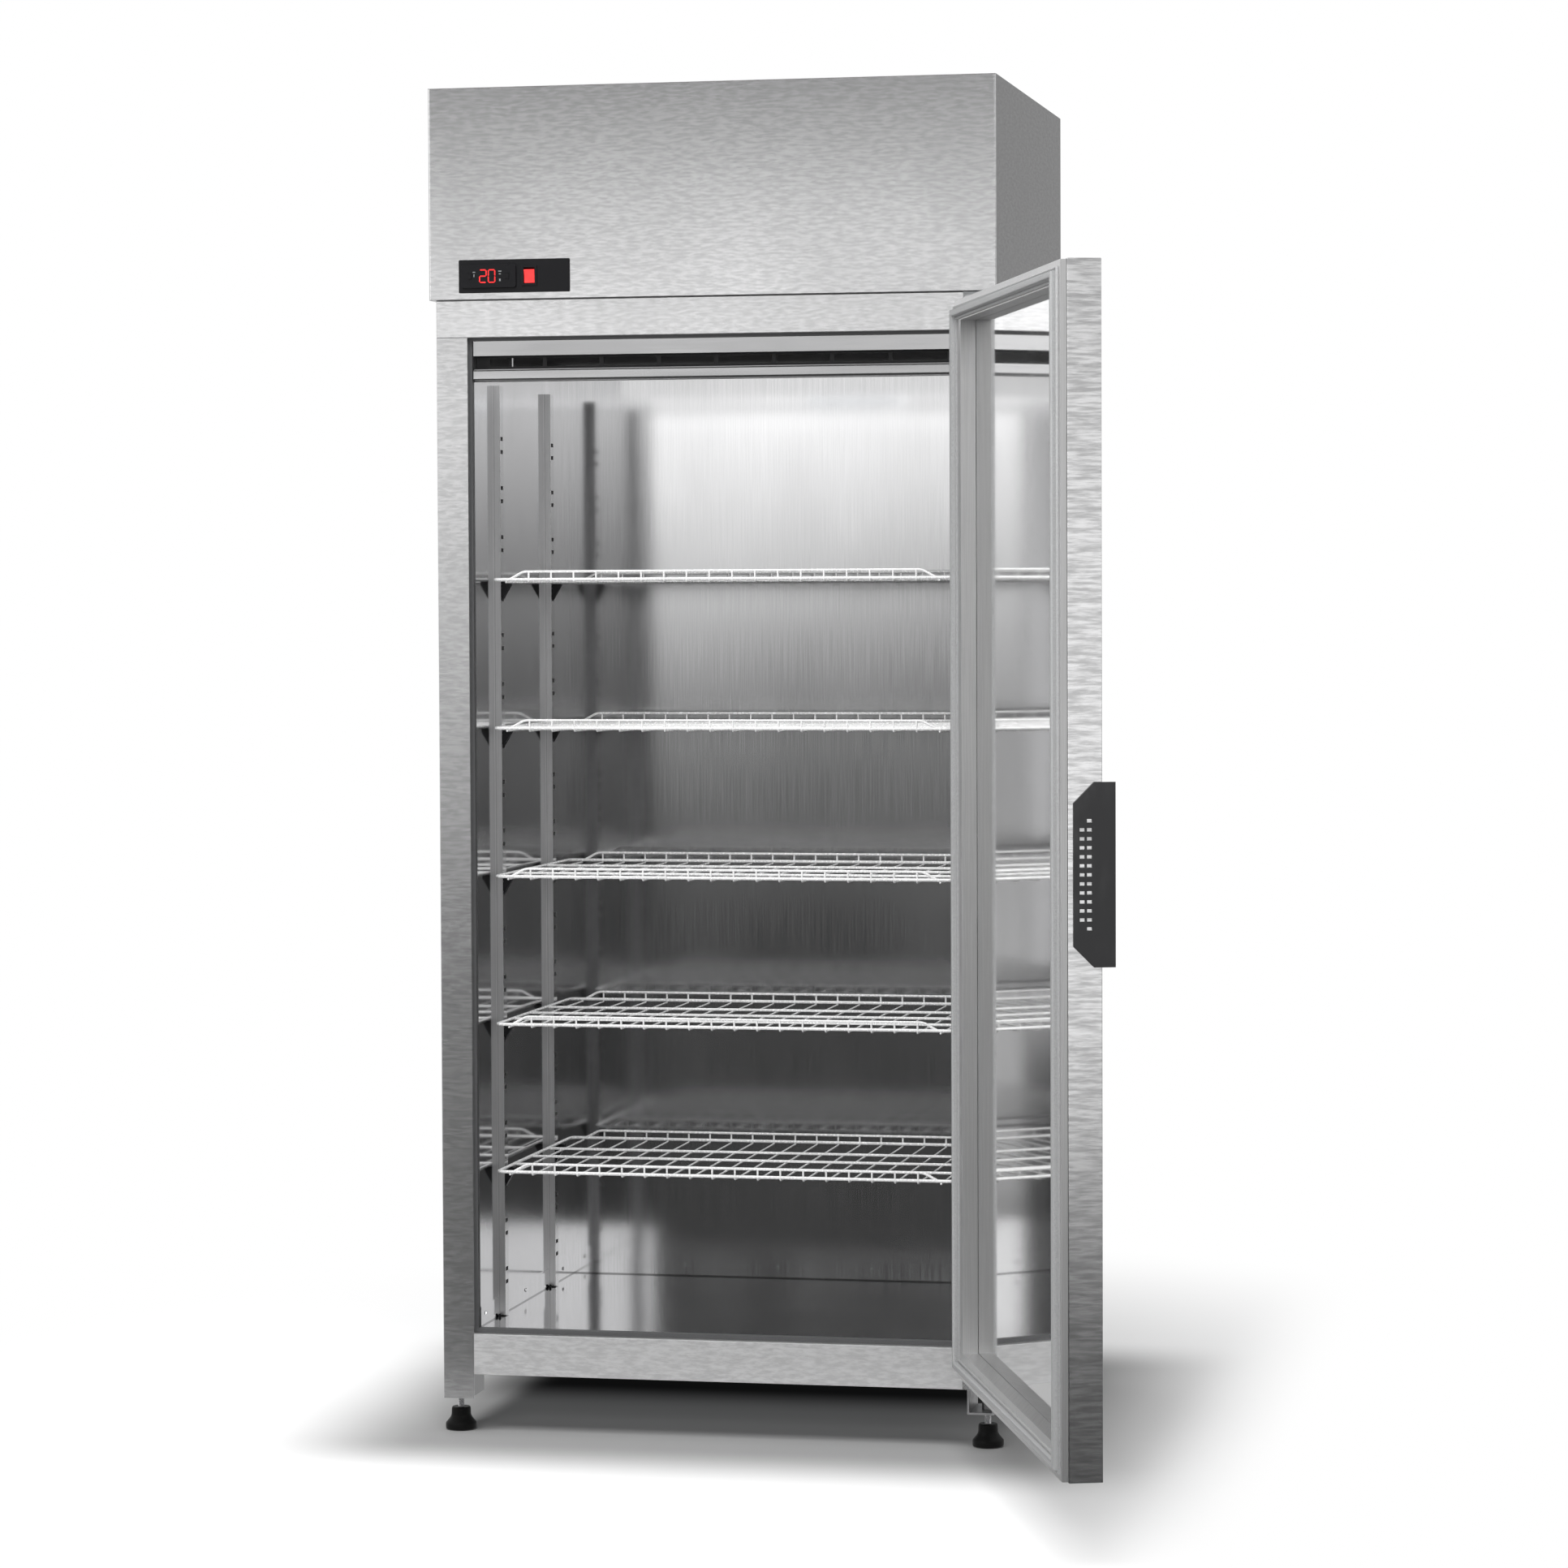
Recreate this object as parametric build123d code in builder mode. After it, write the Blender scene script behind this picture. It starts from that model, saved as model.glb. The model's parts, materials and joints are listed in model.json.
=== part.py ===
"""Upright glass-door refrigerator with its cooling unit in a hood on top.

Millimetres, +Z up. The front faces -Y and +X is the right-hand side seen from the front.
The origin is the centre of the cabinet's footprint, on the floor. The door is drawn standing
open, as it rests, and every door piece is sketched on the door's own plane.
"""

from build123d import *

import os
from math import atan, cos, degrees, radians, sin

os.makedirs("parts", exist_ok=True)

# Cabinet
body_width = 844.0
body_depth = 644.0
foot_height = 53.0
leg_height = 37.0
sill_height = 62.0
opening_height = 1501.0
lintel_height = 56.0
hood_height = 316.0
hood_overhang = 8.0
hood_step = 10.0
wall = 52.0
stile_width = 48.0
return_depth = 12.0
rear_flange = 20.0
breaker_depth = 12.0
skin = 1.0
ceiling_step = 4.0
floor_step = 7.0
tray_lip = 30.0

# Door
door_side_gap = 7.0
sill_overlap = 26.0
lintel_overlap = 41.0
frame_depth = 45.0
cover_depth = 9.0
door_sheet = 1.2
cover_inset = 1.5
window_side = 54.0
window_top = 32.0
window_bottom = 42.0
glazing_bite = 10.0
glass = 4.0
glass_recess = 23.0
gasket_height = 10.0
gasket_width = 20.0
gasket_inset = 10.0
gasket_clearance = 0.3
hinge_inset = 11.7
hinge_setback = 25.2
door_rest = 109.0
pin_radius = 5.0
bearing = 0.05

# Shelving
shelf_side_gap = 15.0
shelf_depth = 456.0
shelf_setback = 60.0
frame_wire = 5.0
cross_wire = 3.0
cross_pitch = 35.0
upstand = 14.0
long_pitch = 101.5
long_count = 3
rail_width = 32.0
rail_depth = 10.0
rail_sheet = 1.2
rail_setbacks = (125.0, 430.0)
rail_bottom_gap = 1.5
rail_headroom = 61.5
slot_pitch = 75.0
slot_gap = 20.0
slot_first = 61.0
slot_last_gap = 25.0
slot_size = (14.0, 6.0)
shelf_slots = (2, 5, 8, 11, 14)
clip_drop = 29.0
clip_reach = 14.0

# Feet
foot_inset_x = 16.0
foot_inset_y = 40.0
foot_radius = 23.5
foot_neck = 14.5
foot_rubber = 34.0
stud_radius = 5.0
foot_sides = 16

# Places worked out from the sizes above
half = body_width / 2
door_width = body_width - 2 * door_side_gap
front = -body_depth / 2
back = body_depth / 2
base = foot_height + leg_height
sill = base + sill_height
lintel = sill + opening_height
hood_base = lintel + lintel_height
top = hood_base + hood_height
opening_half = half - stile_width
liner_half = half - wall
liner_back = back - wall
liner_front = front + return_depth + breaker_depth
cavity_floor = sill + floor_step
cavity_ceiling = lintel - ceiling_step
hood_half = half + hood_overhang
hood_front = front - hood_step


def save(piece, name):
    """Name a finished piece and write it to its own file."""
    piece.part.label = name
    export_step(piece.part, f"parts/{name}.step")


def block(x, y, z, mode=Mode.ADD):
    """Add or cut a box that spans the low and high limits given for each axis."""
    with Locations(((x[0] + x[1]) / 2, (y[0] + y[1]) / 2, (z[0] + z[1]) / 2)):
        Box(x[1] - x[0], y[1] - y[0], z[1] - z[0], mode=mode)


def area(x, y, mode=Mode.ADD):
    """Add or cut a rectangle that spans the low and high limits given for each axis."""
    with Locations(((x[0] + x[1]) / 2, (y[0] + y[1]) / 2)):
        Rectangle(x[1] - x[0], y[1] - y[0], mode=mode)


def folded(plane, points, thickness, side, length):
    """Extrude a folded sheet: its outer face follows the points on the plane."""
    with BuildSketch(plane) as outline:
        with BuildLine():
            Polyline(*points)
            offset(amount=thickness, side=side, kind=Kind.INTERSECTION)
        make_face()
    extrude(outline.sketch, amount=length)


# Outer panels of the cabinet
def side_panel(side, bottom):
    """Wall, front stile with its return flange, and rear flange, folded from one sheet."""
    inner = Side.LEFT if side > 0 else Side.RIGHT
    outline = (
        (side * opening_half, front),
        (side * half, front),
        (side * half, back),
        (side * (half - rear_flange), back),
    )
    with BuildPart() as panel:
        folded(Plane.XY.offset(bottom), outline, skin, inner, hood_base - bottom)
        edge = sorted((side * opening_half, side * (opening_half + skin)))
        block(edge, (front, front + return_depth), (sill, lintel))
        stile = sorted((side * (half - skin), side * opening_half))
        block(stile, (front, front + skin), (lintel, hood_base), Mode.SUBTRACT)
        if bottom < base:
            inside = (front + stile_width, back)
            block((-half, half), inside, (bottom, base), Mode.SUBTRACT)
    return panel


left_side_panel = side_panel(-1, foot_height)
save(left_side_panel, "left_side_panel")
right_side_panel = side_panel(1, base)
save(right_side_panel, "right_side_panel")

with BuildPart() as header_panel:
    header_half = half - skin
    header_fold = ((front, hood_base), (front, lintel), (front + return_depth, lintel))
    folded(Plane.YZ.offset(-header_half), header_fold, skin, Side.LEFT, 2 * header_half)
save(header_panel, "header_panel")

with BuildPart() as sill_panel:
    sill_fold = ((front, base), (front, sill), (front + return_depth, sill))
    folded(Plane.YZ.offset(-opening_half), sill_fold, skin, Side.RIGHT, 2 * opening_half)
save(sill_panel, "sill_panel")

with BuildPart() as back_panel:
    block((skin - half, half - skin), (back - 2 * skin, back - skin), (base, hood_base))
save(back_panel, "back_panel")

with BuildPart() as underside_panel:
    with BuildSketch(Plane.XY.offset(base)):
        area((skin - half, half - skin), (front + skin, back - 2 * skin))
    extrude(amount=skin)
save(underside_panel, "underside_panel")

# Cooling air leaves the cavity by a slot at the back of the duct and comes back by the fan
fan_radius = 68.0
fan_well = 140.0
fan_y = front + 162.0
slot_half = 300.0
slot_front = front + 250.0
slot_back = slot_front + 34.0


def air_ways(plane, depth):
    """Cut the fan well and the return slot through whatever stands above the plane."""
    with BuildSketch(plane) as openings:
        with Locations((0, fan_y)):
            Rectangle(fan_well, fan_well)
        area((-slot_half, slot_half), (slot_front, slot_back))
    extrude(openings.sketch, amount=depth, mode=Mode.SUBTRACT)


with BuildPart() as roof_panel:
    with BuildSketch(Plane.XY.offset(hood_base - skin)):
        area((skin - half, half - skin), (front + skin, back - 2 * skin))
    extrude(amount=skin)
    air_ways(Plane.XY.offset(hood_base - skin), skin)
save(roof_panel, "roof_panel")

# Foamed insulation between the outer panels and the lining
with BuildPart() as insulation:
    foam_half = half - skin
    foam_front = front + skin
    block((-foam_half, foam_half), (foam_front, back - 2 * skin), (base + skin, hood_base - skin))
    lining_z = (cavity_floor - skin, cavity_ceiling + skin)
    lining_x = (-liner_half - skin, liner_half + skin)
    block(lining_x, (foam_front, liner_back + skin), lining_z, Mode.SUBTRACT)
    seat = opening_half + skin
    return_back = front + return_depth
    block((-seat, seat), (foam_front, return_back), (sill - skin, lintel + skin), Mode.SUBTRACT)
    return_z = (lintel, lintel + skin)
    block((-foam_half, foam_half), (foam_front, return_back), return_z, Mode.SUBTRACT)
    seat = opening_half + 2 * skin
    breaker_z = (sill - 2 * skin, lintel + 2 * skin)
    block((-seat, seat), (return_back, liner_front), breaker_z, Mode.SUBTRACT)
    air_ways(Plane.XY.offset(cavity_ceiling + skin), hood_base - cavity_ceiling)
save(insulation, "insulation")

# Polished lining of the cavity
with BuildPart() as liner_walls:
    liner_plan = (
        (-liner_half, liner_front),
        (-liner_half, liner_back),
        (liner_half, liner_back),
        (liner_half, liner_front),
    )
    liner_height = cavity_ceiling - cavity_floor + 2 * skin
    liner_plane = Plane.XY.offset(cavity_floor - skin)
    folded(liner_plane, liner_plan, skin, Side.LEFT, liner_height)
save(liner_walls, "liner_walls")

with BuildPart() as liner_floor:
    floor_x = (-liner_half, liner_half)
    floor_y = (liner_front, liner_back)
    block(floor_x, floor_y, (cavity_floor - skin, cavity_floor + tray_lip))
    tray_x = (skin - liner_half, liner_half - skin)
    tray_y = (liner_front, liner_back - skin)
    block(tray_x, tray_y, (cavity_floor, cavity_floor + tray_lip), Mode.SUBTRACT)
    for setback in rail_setbacks:
        notch = (front + setback - 0.5, front + setback + rail_width + 0.5)
        block(floor_x, notch, (cavity_floor, cavity_floor + tray_lip), Mode.SUBTRACT)
save(liner_floor, "liner_floor")

with BuildPart() as liner_ceiling:
    block(floor_x, floor_y, (cavity_ceiling, cavity_ceiling + skin))
    air_ways(Plane.XY.offset(cavity_ceiling), skin)
save(liner_ceiling, "liner_ceiling")

with BuildPart() as breaker_frame:
    with BuildSketch(Plane.XZ.offset(-return_back)):
        breaker_half = opening_half + 2 * skin
        area((-breaker_half, breaker_half), (sill - 2 * skin, lintel + 2 * skin))
        area((-liner_half, liner_half), (cavity_floor, cavity_ceiling), Mode.SUBTRACT)
    extrude(amount=-breaker_depth)
save(breaker_frame, "breaker_frame")

rivet_radius = 3.5
rivet_rise = 17.0
side_rivets = (50.0, 285.0, 520.0)
back_rivets = (-183.0, -28.0, 127.0, 282.0)
with BuildPart() as liner_rivets:
    rivet_z = cavity_floor + rivet_rise
    for side in (-1, 1):
        for setback in side_rivets:
            face = Plane(
                origin=(side * (liner_half - skin), front + setback, rivet_z),
                x_dir=(0, 1, 0),
                z_dir=(-side, 0, 0),
            )
            with BuildSketch(face):
                RegularPolygon(rivet_radius, 8)
            extrude(amount=1.6, taper=35)
    with BuildSketch(Plane.XZ.offset(skin - liner_back)):
        with Locations(*[(x, rivet_z) for x in back_rivets]):
            RegularPolygon(rivet_radius, 8)
    extrude(amount=1.6, taper=35)
save(liner_rivets, "liner_rivets")

# Air duct under the ceiling, open to the front by a row of slots in its recess
baffle_face = liner_front - 8.0
baffle_strip = 22.0
recess_depth = 22.0
recess_height = 18.0
lip_height = 21.0
lip_radius = 5.0
duct_back = slot_front - 4.0
baffle_sheet = 1.2
baffle_half = liner_half - 1.0
with BuildPart() as air_duct:
    strip_top = cavity_ceiling - 0.5
    recess_top = strip_top - baffle_strip
    recess_bottom = recess_top - recess_height
    lip_bottom = recess_bottom - lip_height
    recess_wall = baffle_face + recess_depth
    duct_floor = recess_bottom - 5.0
    with BuildSketch(Plane.YZ.offset(-baffle_half)):
        with BuildLine():
            Polyline(
                (baffle_face, strip_top),
                (baffle_face, recess_top),
                (recess_wall, recess_top),
                (recess_wall, recess_bottom),
                (baffle_face + lip_radius, recess_bottom),
            )
            RadiusArc(
                (baffle_face + lip_radius, recess_bottom),
                (baffle_face, recess_bottom - lip_radius),
                -lip_radius,
            )
            Line((baffle_face, recess_bottom - lip_radius), (baffle_face, lip_bottom + lip_radius))
            RadiusArc(
                (baffle_face, lip_bottom + lip_radius),
                (baffle_face + lip_radius, lip_bottom),
                -lip_radius,
            )
            Polyline(
                (baffle_face + lip_radius, lip_bottom),
                (baffle_face + 12.0, lip_bottom),
                (baffle_face + 12.0, duct_floor),
                (duct_back, duct_floor),
                (duct_back, strip_top),
            )
            offset(amount=baffle_sheet, side=Side.LEFT, kind=Kind.INTERSECTION)
        make_face()
    extrude(amount=2 * baffle_half)
    with BuildSketch(Plane.XZ.offset(-recess_wall + baffle_sheet)):
        with Locations((0, (recess_top + recess_bottom) / 2)):
            with GridLocations(88.0, 1, 8, 1):
                Rectangle(82.0, 13.0)
    extrude(amount=-4 * baffle_sheet, mode=Mode.SUBTRACT)
save(air_duct, "air_duct")

# Shelf rails, clips and shelves
rail_bottom = cavity_floor + rail_bottom_gap
rail_length = cavity_ceiling - rail_headroom - rail_bottom
rail_face = liner_half - rail_depth
slot_pairs = int((rail_length - slot_first - slot_last_gap) // slot_pitch) + 1


def rail_places():
    """Side and front edge of each rail."""
    return [(side, front + setback) for side in (-1, 1) for setback in rail_setbacks]


def slot_heights():
    """Centres of all slots above the rail's lower end."""
    pairs = [slot_first + slot_pitch * step for step in range(slot_pairs)]
    return [pair + shift for pair in pairs for shift in (-slot_gap / 2, slot_gap / 2)]


def shelf_rail(side, edge):
    """Hat section standing on the side wall, with its slots in the raised face."""
    with BuildPart() as rail:
        crown = rail_width - 2 * 6.0
        ridge = edge + rail_width / 2
        wall_x = side * liner_half
        face_x = side * rail_face
        hat = (
            (wall_x - side * rail_sheet, edge),
            (wall_x - side * rail_sheet, ridge - crown / 2),
            (face_x, ridge - crown / 2),
            (face_x, ridge + crown / 2),
            (wall_x - side * rail_sheet, ridge + crown / 2),
            (wall_x - side * rail_sheet, edge + rail_width),
        )
        toward_wall = Side.RIGHT if side > 0 else Side.LEFT
        folded(Plane.XY.offset(rail_bottom), hat, rail_sheet, toward_wall, rail_length)
        face = Plane(origin=(face_x, ridge, rail_bottom), x_dir=(0, 1, 0), z_dir=(side, 0, 0))
        with BuildSketch(face):
            with Locations(*[(0, side * height) for height in slot_heights()]):
                Rectangle(*slot_size)
        extrude(amount=rail_sheet, mode=Mode.SUBTRACT)
    return rail


rail_names = ("rail_left_front", "rail_left_rear", "rail_right_front", "rail_right_rear")
for rail_name, place in zip(rail_names, rail_places()):
    save(shelf_rail(*place), rail_name)

# The wire of each shelf stands a little above the middle of its pair of slots
shelf_rise = 19.5
shelf_width = 2 * (liner_half - shelf_side_gap)
cross_count = 2 * int((shelf_width / 2 - frame_wire) // cross_pitch)
shelf_front = front + shelf_setback
shelf_back = shelf_front + shelf_depth
shelf_levels = [rail_bottom + slot_first + slot_pitch * pair + shelf_rise for pair in shelf_slots]
rest_gap = 0.05

with BuildPart() as shelf_clips:
    for level in shelf_levels:
        seat = level - frame_wire / 2 - rest_gap
        for side, edge in rail_places():
            ridge = edge + rail_width / 2
            with BuildSketch(Plane.XZ.offset(-ridge)):
                with BuildLine():
                    Polyline(
                        (side * rail_face, seat),
                        (side * (rail_face - clip_reach), seat),
                        (side * (rail_face - clip_reach), seat - 5.0),
                        (side * rail_face, seat - clip_drop),
                        close=True,
                    )
                make_face()
                tongue_z = level - shelf_rise + slot_gap / 2
                tongue = sorted((side * rail_face, side * (rail_face + 3.0)))
                area(tongue, (tongue_z - 2.0, tongue_z + 2.0))
            extrude(amount=5.0, both=True)
save(shelf_clips, "shelf_clips")


def wire_shelf(level):
    """Welded wire shelf: frame, long wires, cross wires below and an upstand at each end."""
    half_wire = frame_wire / 2
    side_x = shelf_width / 2
    low = level - half_wire
    high = level + half_wire
    under = low - cross_wire
    crest = level + upstand
    crest_half = (cross_count - 3) * cross_pitch / 2 + 8.5
    with BuildPart() as shelf:
        with BuildSketch(Plane.XY.offset(low)):
            area((-side_x, side_x), (shelf_front, shelf_back))
            inner_x = side_x - frame_wire
            inner_y = (shelf_front + frame_wire, shelf_back - frame_wire)
            area((-inner_x, inner_x), inner_y, Mode.SUBTRACT)
        extrude(amount=frame_wire)
        for step in range(1, long_count + 1):
            y = shelf_front + long_pitch * step
            block((-inner_x, inner_x), (y, y + 4.0), (low + rest_gap, low + 4.0))
        for y in (shelf_front, shelf_back - frame_wire):
            with BuildSketch(Plane.XZ.offset(-y)):
                with BuildLine():
                    Polyline(
                        (-crest_half - 22.0, high),
                        (-crest_half, crest),
                        (crest_half, crest),
                        (crest_half + 22.0, high),
                        (crest_half + 22.0 - frame_wire, high),
                        (crest_half - 2.0, crest - 4.0),
                        (2.0 - crest_half, crest - 4.0),
                        (frame_wire - crest_half - 22.0, high),
                        close=True,
                    )
                make_face()
            extrude(amount=-frame_wire)
        for step in range(cross_count):
            x = (step - (cross_count - 1) / 2) * cross_pitch
            across = (x - cross_wire / 2, x + cross_wire / 2)
            block(across, (shelf_front, shelf_back), (under, low))
    return shelf


for number, level in enumerate(shelf_levels, 1):
    save(wire_shelf(level), f"wire_shelf_{number}")

# Legs and levelling feet
foot_x = half - foot_inset_x
foot_y = -front - foot_inset_y
bracket_half = 20.0
bracket_sheet = 3.0
bracket_length = 80.0
bracket_centre = half - skin - bracket_half
nut_height = 10.0
with BuildPart() as leg_brackets:
    for sx in (-1, 1):
        for sy in (-1, 1):
            centre_x = sx * bracket_centre
            low_y, high_y = sorted((sy * (-front - skin), sy * (-front - skin - bracket_length)))
            outline = (
                (centre_x - bracket_half, base),
                (centre_x - bracket_half, foot_height),
                (centre_x + bracket_half, foot_height),
                (centre_x + bracket_half, base),
            )
            folded(Plane.XZ.offset(-low_y), outline, bracket_sheet, Side.LEFT, low_y - high_y)
            with BuildSketch(Plane.XY.offset(foot_height + bracket_sheet)):
                with Locations((sx * foot_x, sy * foot_y)):
                    RegularPolygon(9.0, 6)
            extrude(amount=nut_height)
            with BuildSketch(Plane.XY.offset(foot_height)):
                with Locations((sx * foot_x, sy * foot_y)):
                    Circle(stud_radius + bearing)
            extrude(amount=bracket_sheet + nut_height, mode=Mode.SUBTRACT)
save(leg_brackets, "leg_brackets")


def levelling_foot(x, y):
    """Rubber bell foot on a steel stud."""
    rim = 4.0
    flare = 16.0
    slope = degrees(atan((foot_radius - foot_neck) / flare))
    with BuildPart() as foot:
        with BuildSketch(Plane.XY):
            with Locations((x, y)):
                RegularPolygon(foot_radius, foot_sides)
        extrude(amount=rim)
        with BuildSketch(Plane.XY.offset(rim)):
            with Locations((x, y)):
                RegularPolygon(foot_radius, foot_sides)
        extrude(amount=flare, taper=slope)
        with BuildSketch(Plane.XY.offset(rim + flare)):
            with Locations((x, y)):
                RegularPolygon(foot_neck, foot_sides)
        extrude(amount=foot_rubber - rim - flare)
        with BuildSketch(Plane.XY.offset(foot_rubber)):
            with Locations((x, y)):
                Circle(stud_radius)
        extrude(amount=base - 8.0 - foot_rubber)
    return foot


foot_names = {
    (-1, -1): "foot_left_front",
    (1, -1): "foot_right_front",
    (-1, 1): "foot_left_rear",
    (1, 1): "foot_right_rear",
}
for (sx, sy), foot_name in foot_names.items():
    save(levelling_foot(sx * foot_x, sy * foot_y), foot_name)

# Door, sketched on its own plane: x runs from the hinge to the free end and y is height
door_bottom = base + sill_overlap
door_top = lintel + lintel_overlap
door_depth = frame_depth + cover_depth
turn = radians(door_rest)
along = Vector(-cos(turn), -sin(turn), 0)
inward = Vector(-sin(turn), cos(turn), 0)
closed_face = front - gasket_clearance - gasket_height - door_depth
hinge_axis = Vector(door_width / 2 - hinge_inset, closed_face + hinge_setback, 0)
door_corner = hinge_axis - along * hinge_inset - inward * hinge_setback
door_plane = Plane(origin=door_corner, x_dir=along, z_dir=inward)


def door_ring(outer, inner):
    """Rectangular ring on the door plane, set in from the door's edges by the given margins."""
    left, right, low, high = outer
    area((left, door_width - right), (door_bottom + low, door_top - high))
    left, right, low, high = inner
    window_z = (door_bottom + low, door_top - high)
    area((left, door_width - right), window_z, Mode.SUBTRACT)


def grown(margins, amount):
    """Margins of the same outline made larger all round by the amount."""
    return tuple(margin - amount for margin in margins)


edge_margins = (0.0, 0.0, 0.0, 0.0)
window = (window_side, window_side, window_bottom, window_top)
pocket = grown(window, glazing_bite + 1.0)
glazing = grown(window, glazing_bite)
glass_face = door_depth - glass_recess

with BuildPart() as door_frame:
    with BuildSketch(door_plane):
        door_ring(edge_margins, window)
    extrude(amount=door_sheet)
    with BuildSketch(door_plane):
        door_ring(edge_margins, grown(edge_margins, -door_sheet))
        door_ring(grown(pocket, door_sheet), pocket)
    extrude(amount=frame_depth)
    with BuildSketch(Plane.XY.offset(door_bottom)):
        with Locations((hinge_axis.X, hinge_axis.Y)):
            Circle(pin_radius + 2.0 + bearing)
    extrude(amount=door_top - door_bottom, mode=Mode.SUBTRACT)
save(door_frame, "door_frame")

with BuildPart() as door_cover:
    cover_edge = grown(edge_margins, -cover_inset)
    with BuildSketch(door_plane.offset(door_depth - door_sheet)):
        door_ring(cover_edge, window)
    extrude(amount=door_sheet)
    with BuildSketch(door_plane.offset(frame_depth)):
        door_ring(cover_edge, grown(cover_edge, -door_sheet))
    extrude(amount=cover_depth)
    with BuildSketch(door_plane.offset(glass_face)):
        door_ring(grown(window, door_sheet), window)
    extrude(amount=glass_recess)
save(door_cover, "door_cover")

with BuildPart() as door_gasket:
    gasket_outer = grown(edge_margins, -gasket_inset)
    gasket_inner = grown(gasket_outer, -gasket_width)
    groove_outer = grown(gasket_outer, -gasket_width + 6.0)
    groove_inner = grown(gasket_outer, -gasket_width + 3.0)
    with BuildSketch(door_plane.offset(door_depth)):
        door_ring(gasket_outer, gasket_inner)
    extrude(amount=3.0)
    with BuildSketch(door_plane.offset(door_depth + 3.0)):
        door_ring(gasket_outer, groove_outer)
        door_ring(groove_inner, gasket_inner)
    extrude(amount=gasket_height - 3.0)
    crown_edges = door_gasket.faces().sort_by(Axis(door_corner, inward))[-2:].edges()
    chamfer(crown_edges.filter_by(GeomType.LINE), 0.8)
save(door_gasket, "door_gasket")

spacer_inner = grown(glazing, -12.0)
with BuildPart() as outer_glass:
    with BuildSketch(door_plane.offset(door_sheet)):
        area((glazing[0], door_width - glazing[1]), (door_bottom + glazing[2], door_top - glazing[3]))
    extrude(amount=glass)
save(outer_glass, "outer_glass")

with BuildPart() as glass_spacer:
    with BuildSketch(door_plane.offset(door_sheet + glass)):
        door_ring(glazing, spacer_inner)
    extrude(amount=glass_face - door_sheet - 2 * glass)
save(glass_spacer, "glass_spacer")

with BuildPart() as inner_glass:
    with BuildSketch(door_plane.offset(glass_face - glass)):
        area((glazing[0], door_width - glazing[1]), (door_bottom + glazing[2], door_top - glazing[3]))
    extrude(amount=glass)
save(inner_glass, "inner_glass")

# Finger plate on the door's free end
handle_low = 784.0
handle_high = 1023.0
handle_reach = 17.0
handle_cover = 38.0
handle_sheet = 3.0
handle_corner = 27.0
grip_slot = (7.0, 4.5)
grip_pitch = 11.6
grip_columns = ((11.5, 11), (21.0, 13))
free_end = Plane(origin=door_corner + along * door_width, x_dir=-inward, z_dir=along)
with BuildPart() as handle_plate:
    with BuildSketch(free_end):
        area((-handle_cover, handle_reach), (handle_low, handle_high))
        chamfer(vertices().group_by(Axis.X)[0], handle_corner)
        for setback, count in grip_columns:
            with Locations((setback - handle_cover, (handle_low + handle_high) / 2)):
                with GridLocations(1, grip_pitch, 1, count):
                    Rectangle(*grip_slot, mode=Mode.SUBTRACT)
    extrude(amount=handle_sheet)
save(handle_plate, "handle_plate")

# Hinges
hinge_gap = 3.0
hinge_plate = 4.0
hinge_eye = 12.0
hinge_leaf_high = hood_base - 0.5
hinge_root = (380.0, half - skin)
bush_sleeve = 18.0
with BuildPart() as top_hinge:
    plate_low = door_top + hinge_gap
    with BuildSketch(Plane.XY.offset(plate_low)):
        with BuildLine():
            Polyline(
                (hinge_root[0], front),
                (hinge_root[1], front),
                (hinge_axis.X + hinge_eye, hinge_axis.Y),
                (hinge_axis.X + hinge_eye / 2, hinge_axis.Y - hinge_eye),
                (hinge_axis.X - hinge_eye / 2, hinge_axis.Y - hinge_eye),
                (hinge_axis.X - hinge_eye, hinge_axis.Y),
                close=True,
            )
        make_face()
    extrude(amount=hinge_plate)
    block(hinge_root, (front - hinge_plate, front), (plate_low, hinge_leaf_high))
    with BuildSketch(Plane.XY.offset(plate_low - 16.0)):
        with Locations((hinge_axis.X, hinge_axis.Y)):
            Circle(pin_radius)
    extrude(amount=16.0)
save(top_hinge, "top_hinge")

with BuildPart() as bottom_hinge:
    plate_low = door_bottom - hinge_gap - hinge_plate
    with BuildSketch(Plane.XY.offset(plate_low)):
        with BuildLine():
            Polyline(
                (hinge_root[0], front),
                (hinge_root[1], front),
                (hinge_axis.X + hinge_eye, hinge_axis.Y),
                (hinge_axis.X + hinge_eye / 2, hinge_axis.Y - hinge_eye),
                (hinge_axis.X - hinge_eye / 2, hinge_axis.Y - hinge_eye),
                (hinge_axis.X - hinge_eye, hinge_axis.Y),
                close=True,
            )
        make_face()
    extrude(amount=hinge_plate)
    block(hinge_root, (front - hinge_plate, front), (base + 2.0, plate_low))
    with BuildSketch(Plane.XY.offset(plate_low + hinge_plate)):
        with Locations((hinge_axis.X, hinge_axis.Y)):
            Circle(pin_radius)
    extrude(amount=16.0)
save(bottom_hinge, "bottom_hinge")

with BuildPart() as hinge_bushes:
    for face_z, way in ((door_bottom, 1), (door_top, -1)):
        centre = (hinge_axis.X, hinge_axis.Y, face_z)
        with BuildSketch(Plane(centre, z_dir=(0, 0, -way))):
            RegularPolygon(10.0, 6)
        extrude(amount=hinge_gap - 0.2)
        with BuildSketch(Plane(centre, z_dir=(0, 0, way))):
            Circle(pin_radius + 2.0)
        extrude(amount=bush_sleeve)
    with BuildSketch(Plane.XY.offset(door_bottom - hinge_gap)):
        with Locations((hinge_axis.X, hinge_axis.Y)):
            Circle(pin_radius + bearing)
    extrude(amount=door_top - door_bottom + 2 * hinge_gap, mode=Mode.SUBTRACT)
save(hinge_bushes, "hinge_bushes")

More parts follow.
